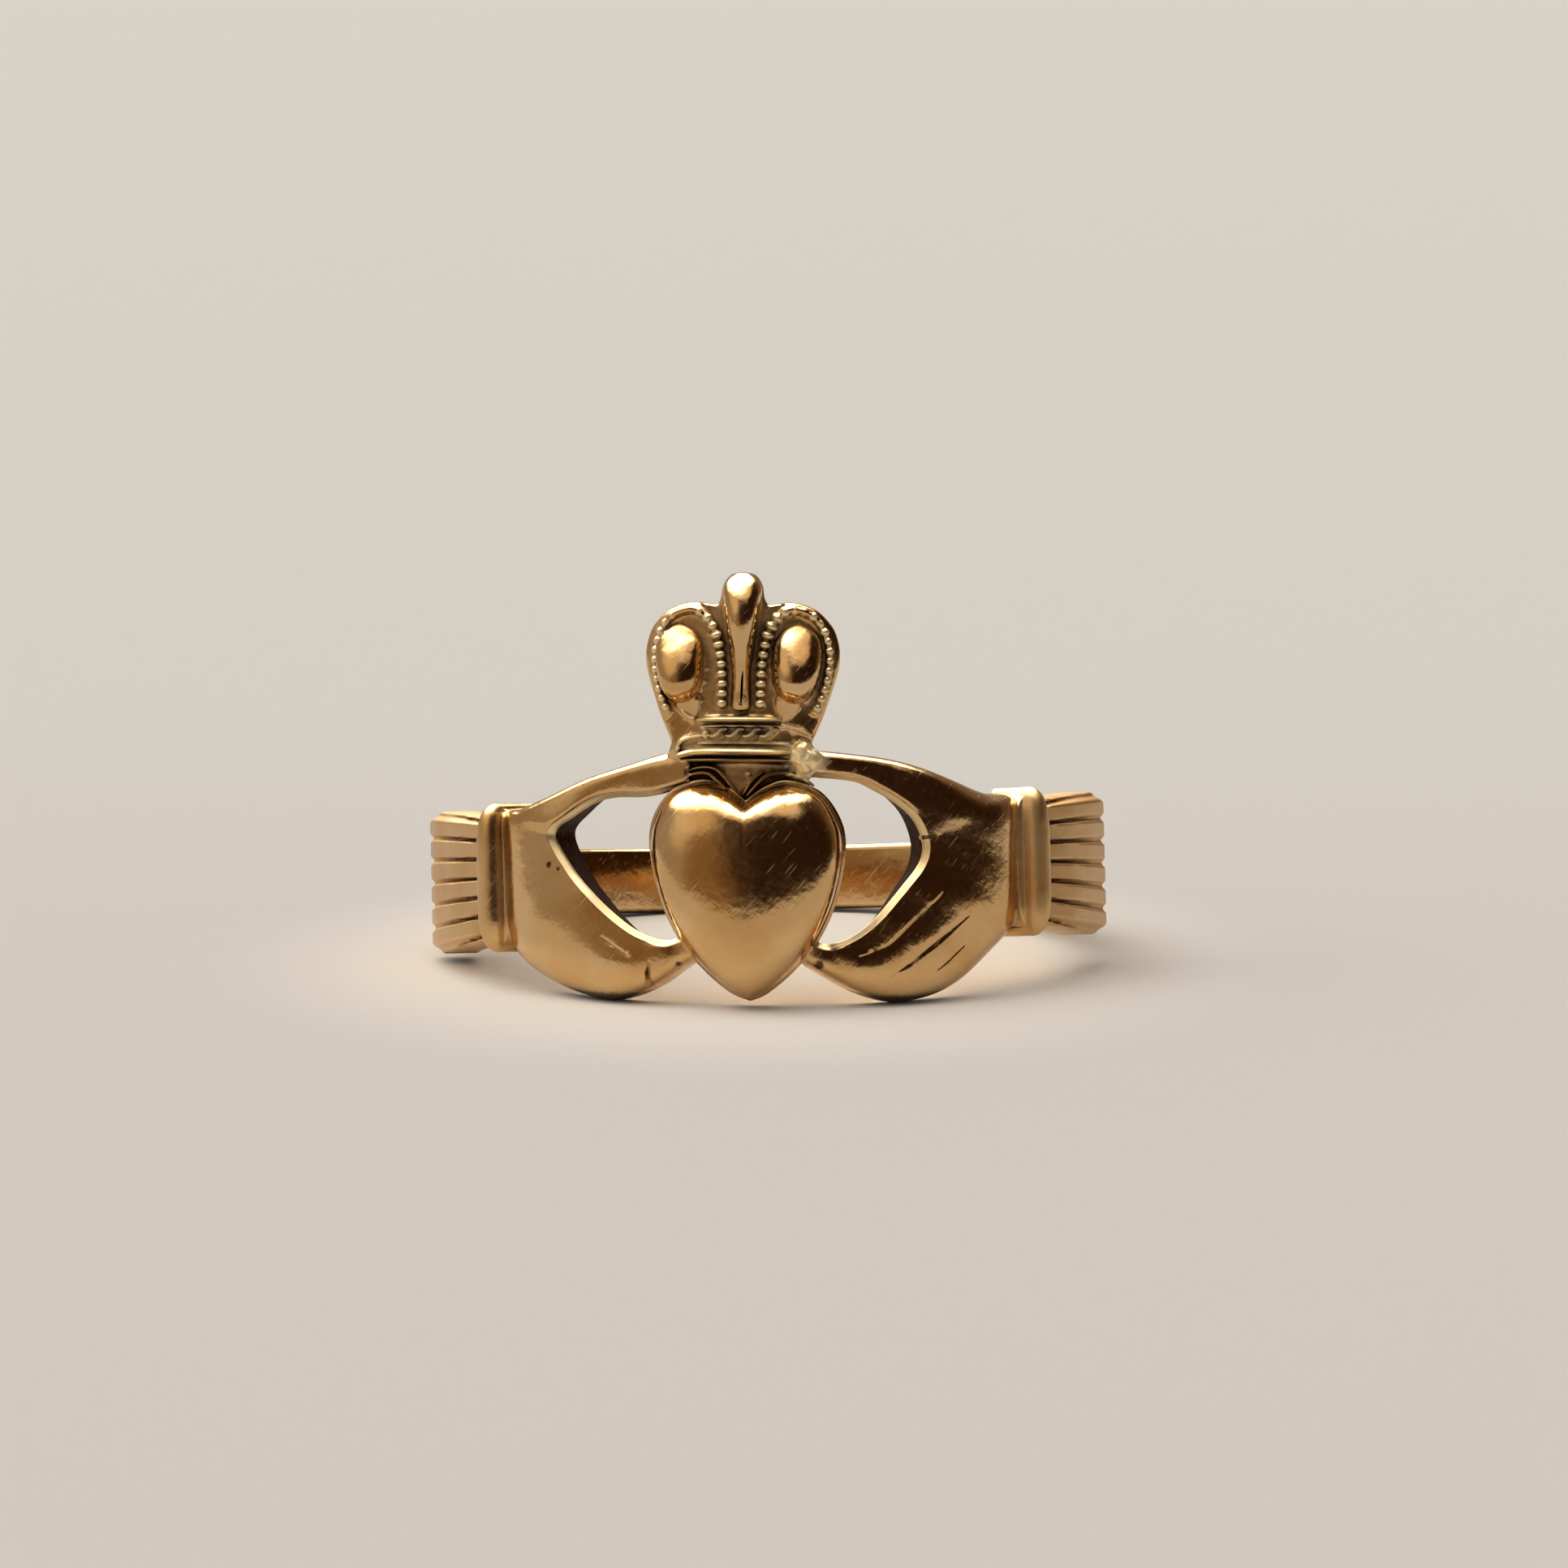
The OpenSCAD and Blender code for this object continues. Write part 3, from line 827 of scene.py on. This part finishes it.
@dataclass
class Solder:
    """The lump of solder at the crown's right foot."""

    spot: tuple[float, float] = (1.6, 2.98)
    size: tuple[float, float, float] = (0.44, 0.54, 0.42)
    over: float = 1.08
    swell: Rows = ((.4, 1.7), (.12, 4), (.04, 11))

    def forge(self) -> Mesh:
        """Builds the lump with its frozen, uneven skin: each swelling has a height and a fineness."""
        mesh = bmesh.new()
        centre = Vector((*self.spot, self.over))
        place = Matrix.Translation(centre) @ Matrix.Diagonal((*self.size, 1))
        made = bmesh.ops.create_icosphere(mesh, subdivisions=5, radius=1.0, matrix=place)
        for vert in made["verts"]:
            swell = sum(height * noise.noise(vert.co * fine) for height, fine in self.swell)
            vert.co = centre + (vert.co - centre) * (1 + swell)
        return mesh


def to_scene(mesh: Mesh, name: str, finishes: Sequence[Material]) -> Object:
    """Puts a mesh into the scene and frees the working copy.

    Args:
        mesh: The working copy.
        name: The object's name.
        finishes: The material of each slot.

    Returns:
        The new object.
    """
    data = bpy.data.meshes.new(name)
    mesh.to_mesh(data)
    mesh.free()
    for finish in finishes:
        data.materials.append(finish)
    made = bpy.data.objects.new(name, data)
    bpy.context.scene.collection.objects.link(made)
    return made


class Foundry:
    """Fuses and cuts closed meshes in the order in which they come."""

    def __init__(self, name: str, finishes: Sequence[Material]) -> None:
        """Starts with nothing in the mould.

        Args:
            name: The name of the cast body.
            finishes: The material of each slot.
        """
        self.name = name
        self.finishes = finishes
        self.body: Object | None = None

    def pour(self, mesh: Mesh, label: str, how: Join = Join.FUSE) -> None:
        """Fuses a form to the body, or cuts it away.

        Args:
            mesh: A closed mesh in the upright ring's place, in millimetres.
            label: What the log calls it.
            how: Whether it is fused or cut.
        """
        if self.body is None:
            self.body = to_scene(mesh, self.name, self.finishes)
            LOG.info("%s: %d faces", label, len(self.body.data.polygons))
            return
        tool = to_scene(mesh, "tool", self.finishes)
        change = self.body.modifiers.new("join", "BOOLEAN")
        change.operation, change.solver, change.object = how.value, "MANIFOLD", tool
        seen = self.body.evaluated_get(bpy.context.evaluated_depsgraph_get())
        joined = bpy.data.meshes.new_from_object(seen)
        self.body.modifiers.clear()
        old, self.body.data = self.body.data, joined
        bpy.data.meshes.remove(old)
        spent = tool.data
        bpy.data.objects.remove(tool)
        bpy.data.meshes.remove(spent)
        LOG.info("%s %s: %d faces in all", label, how.name.lower(), len(joined.polygons))


# How far round the sleeves reach, what counts as a sliver, which seams are smoothed and how
# far beside them, and from which angle on an edge stays crisp
SLEEVE_END = math.radians(85)
SLIVER = 0.004
SEAM_ANGLE = math.radians(32)
SEAM_REACH = 0.16
CRISP_ANGLE = math.radians(50)


def cast_ring() -> Object:
    """Casts the whole ring as one body."""
    foundry = Foundry("cast_ring", (CastGold().make(), PiercedWall().make(), RubbedEdgePaintedLight().make()))
    heart, crown = Heart(), Crown()
    for hand, label in ((LEFT_HAND, "left hand"), (RIGHT_HAND, "right hand")):
        flat = hand.forge()
        gravers = list(hand.gravers(flat))
        foundry.pour(FINGER.bend(flat), label)
        for graver in gravers:
            foundry.pour(FINGER.bend(graver), label + " stroke", Join.CUT)
    for mesh in BackPlate().forge(heart, crown):
        foundry.pour(FINGER.bend(mesh), "back plate")
    foundry.pour(FINGER.bend(heart.forge()), "heart")
    for mesh, how in crown.forge():
        foundry.pour(FINGER.bend(mesh), "crown", how)
    foundry.pour(FINGER.bend(Solder().forge()), "solder")
    for hand, hang in ((LEFT_HAND, .1), (RIGHT_HAND, 0.0)):
        along = hand.side.value * hand.reach
        for mesh in Cuff(along, hang).forge():
            foundry.pour(FINGER.bend(mesh, askew=False), "cuff")
        end = hand.side.value * SLEEVE_END
        foundry.pour(Sleeve(along / FINGER.front_radius, end, hang).forge(), "sleeve")
    hole = bmesh.new()
    clear = FINGER.clear_radius
    bmesh.ops.create_cone(hole, cap_ends=True, segments=256, radius1=clear, radius2=clear, depth=40)
    foundry.pour(hole, "finger hole", Join.CUT)
    foundry.pour(Band().forge(), "band")
    return foundry.body


def heal(mesh: Mesh) -> None:
    """Takes slivers out, and closes what that tears."""
    bmesh.ops.triangulate(mesh, faces=[f for f in mesh.faces if len(f.verts) > 4])
    bmesh.ops.dissolve_degenerate(mesh, dist=SLIVER, edges=mesh.edges[:])
    for _ in range(4):
        torn = [f for f in mesh.faces if any(not e.is_manifold for v in f.verts for e in v.link_edges)]
        bmesh.ops.delete(mesh, geom=torn, context="FACES")
        bmesh.ops.delete(mesh, geom=[e for e in mesh.edges if e.is_wire], context="EDGES")
        bmesh.ops.holes_fill(mesh, edges=[e for e in mesh.edges if e.is_boundary], sides=0)
    bmesh.ops.recalc_face_normals(mesh, faces=mesh.faces[:])


def soften(ring: Object) -> None:
    """Runs the seams together as casting does, marks the crisp edges and lays the ring down."""
    mesh = bmesh.new()
    mesh.from_mesh(ring.data)
    heal(mesh)
    seam = {v for e in mesh.edges if e.is_manifold and e.calc_face_angle_signed(0.0) < -SEAM_ANGLE
            for v in e.verts}
    near = [v for v in mesh.verts if v in seam or any(
        e.other_vert(v) in seam and e.calc_length() < SEAM_REACH for e in v.link_edges)]
    for _ in range(3):
        bmesh.ops.smooth_vert(mesh, verts=near, factor=.5, use_axis_x=True, use_axis_y=True, use_axis_z=True)
    open_edges = sum(1 for e in mesh.edges if not e.is_manifold)
    LOG.info("open edges %d, volume %.1f mm3", open_edges, mesh.calc_volume(signed=True))
    for edge in mesh.edges:
        edge.smooth = edge.is_manifold and edge.calc_face_angle(0.0) < CRISP_ANGLE
    for face in mesh.faces:
        face.smooth = True
    mesh.transform(FINGER.rest())
    mesh.to_mesh(ring.data)
    mesh.free()


# Finishes


Settings = dict[str, object]
Sockets = dict[str | int, object]
Spot = tuple[tuple[float, float, float], float]
EASED: Settings = {"interpolation_type": "SMOOTHSTEP"}
COLOURS: Settings = {"data_type": "RGBA"}
LARGER: Settings = {"operation": "MAXIMUM"}
SCALED_SUM: Settings = {"operation": "MULTIPLY_ADD"}
MIXED_COLOUR = 2


def linear(colour: str, strength: float = 1.0) -> tuple[float, float, float, float]:
    """Turns an sRGB hex colour to linear light.

    Args:
        colour: Such as "#d8b06a".
        strength: What the light is multiplied by.

    Returns:
        Red, green, blue and alpha.
    """
    parts = [int(colour[k:k + 2], 16) / 255 for k in (1, 3, 5)]
    return (*[strength * (c / 12.92 if c <= .04045 else ((c + .055) / 1.055) ** 2.4) for c in parts], 1.0)


def connect(tree: NodeTree, node: Node, sockets: Sockets) -> None:
    """Links or sets inputs of a node.

    Args:
        tree: The node tree.
        node: The node.
        sockets: Inputs by name or number; an output socket is linked, any other value is set.
    """
    for name, value in sockets.items():
        if isinstance(value, NodeSocket):
            tree.links.new(value, node.inputs[name])
        else:
            node.inputs[name].default_value = value


def add(tree: NodeTree, kind: str, settings: Settings | None = None, sockets: Sockets | None = None,
        out: str | int = 0) -> NodeSocket:
    """Adds a node with its settings and links.

    Args:
        tree: The node tree.
        kind: The node's type, without the ShaderNode in front.
        settings: Properties of the node.
        sockets: Inputs, as connect takes them.
        out: The output that is wanted, by name or number.

    Returns:
        That output of the new node.
    """
    made = tree.nodes.new("ShaderNode" + kind)
    for name, value in (settings or {}).items():
        setattr(made, name, value)
    connect(tree, made, sockets or {})
    return made.outputs[out]


def begin(name: str) -> tuple[Material, NodeTree, NodeSocket]:
    """Starts a material.

    Args:
        name: What the finish is called.

    Returns:
        The material, its node tree and the object coordinates in metres.
    """
    material = bpy.data.materials.new(name)
    material.use_nodes = True
    return material, material.node_tree, add(material.node_tree, "TexCoord", out="Object")


@dataclass(frozen=True)
class CastGold:
    """Yellow gold, 14 carat, cast and hand polished, worn for years.

    Soft metal that was polished by hand and has been rubbed since: a mirror with a slight
    wave in it, crossed by fine scratches, satin on the sleeves where no polish reached,
    and brown tarnish where a cloth doesn't get in, darkened in and beside hollows as painted
    shade too. Lengths of the patterns are millimetres.
    """

    base: str = "#d5ae79"
    pale: str = "#dab888"
    warm: str = "#cfa46c"
    # Brown of the tarnish, which in and beside hollows also paints shade
    tarnish_and_shade: str = "#2e1a0c"
    solder: str = "#fbe6b4"
    hollow_reach: float = 0.5
    polish: tuple[float, float] = (0.12, 0.2)
    satin: float = 0.26
    satin_from: tuple[float, float] = (7.3, 8.1)
    wave_depth: float = 0.03
    scratch_depth: float = 0.0028
    solder_spot: Spot = ((1.6, 2.98, 1.3), 0.62)
    stains: tuple[Spot, ...] = (
        ((-5.81, 0, 1.65), .09), ((-5.5, -.12, 1.65), .07), ((-2.78, -3.1, 1.4), .1),
        ((-2.82, -3.45, 1.3), .13), ((-2.87, -3.72, 1.1), .16), ((-3.25, -2.85, 1.6), .07),
        ((-.59, -2.98, 2.2), .08), ((1.81, -1.91, 1.3), .17), ((2.04, -2.83, 1.2), .15),
        ((-1.9, -2.9, 1.2), .13))

    @staticmethod
    def spot(tree: NodeTree, place: NodeSocket, grit: NodeSocket, flat: Sequence[float],
             size: float) -> NodeSocket:
        """Marks a ragged spot on the motif.

        Args:
            tree: The material's node tree.
            place: The object coordinates.
            grit: The noise that breaks the edge up.
            flat: The middle, as a flat point in millimetres.
            size: The radius in millimetres.

        Returns:
            0.9 inside the spot and 0 outside.
        """
        radius = size * MILLIMETRE
        away = add(tree, "VectorMath", {"operation": "DISTANCE"}, {0: place, 1: FINGER.laid(flat)}, "Value")
        ragged = add(tree, "Math", SCALED_SUM, {0: grit, 1: radius * 1.2, 2: away})
        return add(tree, "MapRange", EASED,
                   {"Value": ragged, 1: radius * 1.9, 2: radius * 1.25, 3: 0.0, 4: .9})

    @staticmethod
    def strokes(tree: NodeTree, mm: NodeSocket, turn: float, size: Sequence[float],
                detail: float) -> NodeSocket:
        """Draws noise that is stretched to strokes.

        Args:
            tree: The material's node tree.
            mm: The object coordinates in millimetres.
            turn: How the strokes slant as seen from the front, in degrees.
            size: Length of a stroke and its width both ways, in millimetres.
            detail: How rough the strokes are.

        Returns:
            The noise.
        """
        way = add(tree, "Mapping", {"vector_type": "TEXTURE"},
                  {"Vector": mm, "Rotation": (0, math.radians(turn), 0), "Scale": size})
        return add(tree, "TexNoise", None, {"Vector": way, "Scale": 1.0, "Detail": detail})

    def tone(self, tree: NodeTree, mm: NodeSocket) -> NodeSocket:
        """Returns the gold's colour, which wanders between paler and redder gold over 2 mm."""
        drift = add(tree, "TexNoise", None, {"Vector": mm, "Scale": .5, "Detail": 3.0})
        made = add(tree, "ValToRGB", None, {0: drift})
        ramp = made.node.color_ramp.elements
        ramp[0].position, ramp[0].color = .35, linear(self.warm)
        ramp[1].position, ramp[1].color = .65, linear(self.pale)
        ramp.new(.5).color = linear(self.base)
        return made

    def make(self) -> Material:
        """Builds the material."""
        material, tree, place = begin("cast_gold_14_carat")
        mm = add(tree, "Mapping", None, {"Vector": place, "Scale": (1000, 1000, 1000)})
        grit = add(tree, "TexNoise", None, {"Vector": mm, "Scale": 7.0, "Detail": 4.0})
        solder = self.spot(tree, place, grit, *self.solder_spot)

        # Tarnish gathers in and beside a hollow, broken up at 0.15 mm, and in single stains; by the hollows
        # the darkening is painted shade as well as tarnish
        reach = self.hollow_reach * MILLIMETRE
        hollow = add(tree, "AmbientOcclusion", {"samples": 8}, {"Distance": reach}, "AO")
        broken = add(tree, "Math", SCALED_SUM, {0: grit, 1: .3, 2: hollow})
        tarnish_and_shade_share = add(tree, "MapRange", EASED, {"Value": broken, 1: .9, 2: .52, 3: 0.0, 4: .96})
        matt = add(tree, "MapRange", EASED, {"Value": broken, 1: 1.08, 2: .85, 3: 0.0, 4: .26})
        for flat, size in self.stains:
            tarnish_and_shade_share = add(tree, "Math", LARGER, {0: tarnish_and_shade_share, 1: self.spot(tree, place, grit, flat, size)})
        tone = self.tone(tree, mm)
        colour = add(tree, "Mix", COLOURS, {0: tarnish_and_shade_share, 6: tone, 7: linear(self.tarnish_and_shade)}, MIXED_COLOUR)
        colour = add(tree, "Mix", COLOURS, {0: solder, 6: colour, 7: linear(self.solder)}, MIXED_COLOUR)

        # Fine scratches 1 mm long, most of them slanting up to the right, and single deeper ones. Real
        # ones are 0.01 mm wide, and these 0.05 to 0.1 mm, so that they show
        most = self.strokes(tree, mm, -48, (1.1, .11, .07), 3.0)
        rest = self.strokes(tree, mm, 28, (.8, .12, .06), 2.0)
        fine = add(tree, "Math", LARGER, {0: most, 1: rest})
        deep = self.strokes(tree, mm, -50, (1.3, .3, .05), 1.0)
        scored = add(tree, "MapRange", None, {"Value": deep, 1: .67, 2: .76})

        # Polished in front, satin on the sleeves, and duller on the solder, in scratches and by hollows
        low, high = self.polish
        rough = add(tree, "MapRange", None, {"Value": grit, 1: .3, 2: .75, 3: low, 4: high})
        sideways = add(tree, "SeparateXYZ", None, {0: mm}, "X")
        out = add(tree, "Math", {"operation": "ABSOLUTE"}, {0: sideways})
        start, full = self.satin_from
        sleeve = add(tree, "MapRange", EASED, {"Value": out, 1: start, 2: full, 3: 0.0, 4: self.satin})
        for share, amount in ((sleeve, 1.0), (solder, .2), (scored, .24), (matt, 1.0)):
            rough = add(tree, "Math", SCALED_SUM, {0: share, 1: amount, 2: rough})

        # The polish left waves about 1 mm long
        wave = add(tree, "TexNoise", None, {"Vector": mm, "Scale": .9, "Detail": 3.0, "Roughness": .55})
        waved = add(tree, "Bump", None,
                    {"Height": wave, "Strength": 1.0, "Distance": self.wave_depth * MILLIMETRE})
        normal = add(tree, "Bump", None, {"Height": fine, "Strength": 1.0, "Normal": waved,
                                          "Distance": self.scratch_depth * MILLIMETRE})
        metal = add(tree, "Math", SCALED_SUM, {0: solder, 1: -.4, 2: 1.0})
        connect(tree, tree.nodes["Principled BSDF"],
                {"Base Color": colour, "Roughness": rough, "Normal": normal, "Metallic": metal})
        return material


@dataclass(frozen=True)
class PiercedWall:
    """The walls of the two openings: gold as it left the mould, which no polish reached.

    Rough and dull, with brown-black oxide and old polish on it. Its dark colour also
    paints the shade inside the opening, so that each opening has the thin dark line
    beside its bright lip.
    """

    # Dark browns for oxide and for painted shade inside the opening
    base: str = "#4a2b17"
    deep: str = "#1f1008"

    def make(self) -> Material:
        """Builds the material."""
        material, tree, place = begin("tarnished_gold_painted_shade")

        # Crusts of oxide, 0.2 mm across
        crust = add(tree, "TexNoise", None, {"Vector": place, "Scale": 5000.0, "Detail": 3.0})
        share = add(tree, "MapRange", None, {"Value": crust, 1: .35, 2: .65})
        mixed = {0: share, 6: linear(self.deep), 7: linear(self.base)}
        colour = add(tree, "Mix", COLOURS, mixed, MIXED_COLOUR)
        connect(tree, tree.nodes["Principled BSDF"],
                {"Base Color": colour, "Metallic": .4, "Roughness": .55, "Specular IOR Level": .15,
                 "Specular Tint": linear(self.base)})
        return material


@dataclass(frozen=True)
class RubbedEdgePaintedLight:
    """The narrow high places: the bevel round each opening, the crown's ridges, rope and beads.

    Gold, filed once and rubbed by cloth and skin ever since: a fine satin that scatters
    the light from above. Its pale colour is partly wear and partly a painted highlight, so
    that these lines stay light whichever way they turn.
    """

    # Pale gold that partly paints the highlight on the high places
    colour: str = "#edd6a8"
    tarnish_and_shade: str = "#3a2412"
    gap: float = 0.25

    def make(self) -> Material:
        """Builds the material."""
        material, tree, place = begin("rubbed_gold_painted_light")

        # File marks, 0.06 mm apart
        marks = add(tree, "TexNoise", None, {"Vector": place, "Scale": 16000.0, "Detail": 2.0})
        rough = add(tree, "MapRange", None, {"Value": marks, 1: .3, 2: .7, 3: .33, 4: .5})

        # Brown stays in the gaps: tarnish, and painted shade between the high places
        hollow = add(tree, "AmbientOcclusion", {"samples": 8}, {"Distance": self.gap * MILLIMETRE}, "AO")
        tarnish_and_shade_share = add(tree, "MapRange", EASED, {"Value": hollow, 1: .74, 2: .44, 3: 0.0, 4: .97})
        mixed = {0: tarnish_and_shade_share, 6: linear(self.colour), 7: linear(self.tarnish_and_shade)}
        colour = add(tree, "Mix", COLOURS, mixed, MIXED_COLOUR)
        connect(tree, tree.nodes["Principled BSDF"],
                {"Base Color": colour, "Roughness": rough, "Metallic": .9})
        return material


@dataclass(frozen=True)
class TablePaper:
    """Matt white card with no shine, with a painted pool of warm light close round the ring."""

    # The colour of the painted pool of light round the ring
    painted_light_pool: str = "#f3ede4"
    near: str = "#dcd6d1"
    far: str = "#dedad5"

    def make(self) -> Material:
        """Builds the material."""
        material, tree, place = begin("matt_card")
        back = add(tree, "SeparateXYZ", None, {0: place}, "Y")
        share = add(tree, "MapRange", EASED, {"Value": back, 1: -.01, 2: .06})
        mixed = {0: share, 6: linear(self.near), 7: linear(self.far)}
        colour = add(tree, "Mix", COLOURS, mixed, MIXED_COLOUR)

        # A painted pool of warm light that lifts the ring's contact shadow: an oval that fades out 8 to 17 mm
        # beside the ring's middle and 10 to 21 mm in front of it
        oval = add(tree, "VectorMath", {"operation": "MULTIPLY"}, {0: place, 1: (100, 80, 0)})
        away = add(tree, "VectorMath", {"operation": "LENGTH"}, {0: oval}, "Value")
        close = add(tree, "MapRange", EASED, {"Value": away, 1: 1.7, 2: .8})
        colour = add(tree, "Mix", COLOURS, {0: close, 6: colour, 7: linear(self.painted_light_pool)}, MIXED_COLOUR)
        connect(tree, tree.nodes["Principled BSDF"],
                {"Base Color": colour, "Roughness": .9, "Specular IOR Level": .2})
        return material


def toward(azimuth: float, elevation: float) -> Vector:
    """Returns a direction seen from the ring; azimuth runs from the front to the right, in degrees."""
    a, e = math.radians(azimuth), math.radians(elevation)
    return Vector((math.sin(a) * math.cos(e), -math.cos(a) * math.cos(e), math.sin(e)))


@dataclass(frozen=True)
class Patch:
    """One soft patch of light or shade round the studio; angles are degrees."""

    azimuth: float
    elevation: float
    inner: float
    outer: float
    colour: str
    strength: float


@dataclass(frozen=True)
class Studio:
    """A pale table under a white tent with one window, and the room that the gold mirrors.

    The tent and the window light the table; the walls and patches are what polished gold
    shows. Lengths of the camera's place are metres, and its angles are degrees.
    """

    tent: tuple[str, float] = ("#f4f2ee", 0.4)
    window: Patch = Patch(-60, 55, 5, 50, "#fffaf2", 2.23)
    walls: tuple[str, float] = ("#b8aa98", .82)
    patches: tuple[Patch, ...] = (
        Patch(-60, 48, 14, 36, "#dccaae", 1.15),
        Patch(-25, 8, 12, 30, "#8f7452", 1.0),
        Patch(130, 10, 20, 50, "#8a7360", .8),
        Patch(50, 30, 45, 72, "#6e5340", .6),
        Patch(48, 12, 44, 67, "#40240f", .45),
        Patch(0, 84, 12, 30, "#fff4e2", 1.5),
        Patch(50, 68, 8, 20, "#f6e2c6", 1.1),
        Patch(-150, 66, 27, 43, "#fff9ee", 8.0))
    azimuth: float = 3.7
    elevation: float = 7.6
    distance: float = 0.2
    aside: float = 0.414e-3
    above: float = 2.65e-3
    lens: float = 153.2

    def picture(self, tree: NodeTree, way: NodeSocket, walls: tuple[str, float],
                patches: Sequence[Patch]) -> NodeSocket:
        """Lays patches over the walls, the last on top.

        Args:
            tree: The world's node tree.
            way: The direction that is looked in.
            walls: Colour and strength of all that has no patch.
            patches: The patches.

        Returns:
            The colour that is seen.
        """
        colour: object = linear(*walls)
        for patch in patches:
            aim = toward(patch.azimuth, patch.elevation)
            near = add(tree, "VectorMath", {"operation": "DOT_PRODUCT"}, {0: way, 1: aim}, "Value")
            rim, core = (math.cos(math.radians(angle)) for angle in (patch.outer, patch.inner))
            share = add(tree, "MapRange", EASED, {"Value": near, 1: rim, 2: core})
            light = linear(patch.colour, patch.strength)
            colour = add(tree, "Mix", COLOURS, {0: share, 6: colour, 7: light}, MIXED_COLOUR)
        return colour

    def world(self) -> None:
        """Hangs the tent: soft light on the table, and the room's own picture in the gold."""
        world = bpy.data.worlds.new("tent")
        bpy.context.scene.world = world
        world.use_nodes = True
        tree = world.node_tree
        way = add(tree, "TexCoord", out="Generated")
        mirror = add(tree, "LightPath", out="Is Glossy Ray")
        soft = self.picture(tree, way, self.tent, (self.window,))
        sharp = self.picture(tree, way, self.walls, self.patches)
        seen = add(tree, "Mix", COLOURS, {0: mirror, 6: soft, 7: sharp}, MIXED_COLOUR)
        connect(tree, tree.nodes["Background"], {"Color": seen})

    def table(self) -> None:
        """Lays the table."""
        mesh = bmesh.new()
        bmesh.ops.create_grid(mesh, x_segments=1, y_segments=1, size=8)
        floor = to_scene(mesh, "table", (TablePaper().make(),))

    def camera(self) -> None:
        """Sets the camera before the heart, a little to its right and above."""
        azimuth = math.radians(self.azimuth)
        away = toward(self.azimuth, self.elevation)
        right = Vector((math.cos(azimuth), math.sin(azimuth), 0))
        up = away.cross(right)
        hoop = Vector((0, -FINGER.middle, FINGER.lift)) * MILLIMETRE
        data = bpy.data.cameras.new("camera")
        data.lens, data.sensor_width = self.lens, 36
        data.clip_start, data.clip_end = .005, 20
        camera = bpy.data.objects.new("camera", data)
        camera.location = hoop + right * self.aside + up * self.above + away * self.distance
        camera.rotation_mode = "QUATERNION"
        camera.rotation_quaternion = (-away).to_track_quat("-Z", "Y")
        bpy.context.scene.collection.objects.link(camera)
        bpy.context.scene.camera = camera
        bpy.context.scene.view_settings.view_transform = "Standard"


def main() -> None:
    """Builds the ring, dresses it and sets the stage."""
    logging.basicConfig(level=logging.INFO, format="%(name)s: %(message)s")
    ring = cast_ring()
    soften(ring)
    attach(ring, "root")
    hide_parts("ring")
    LOG.info("ring: %d faces", len(ring.data.polygons))
    studio = Studio()
    studio.world()
    studio.table()
    studio.camera()


if __name__ == "__main__":
    main()
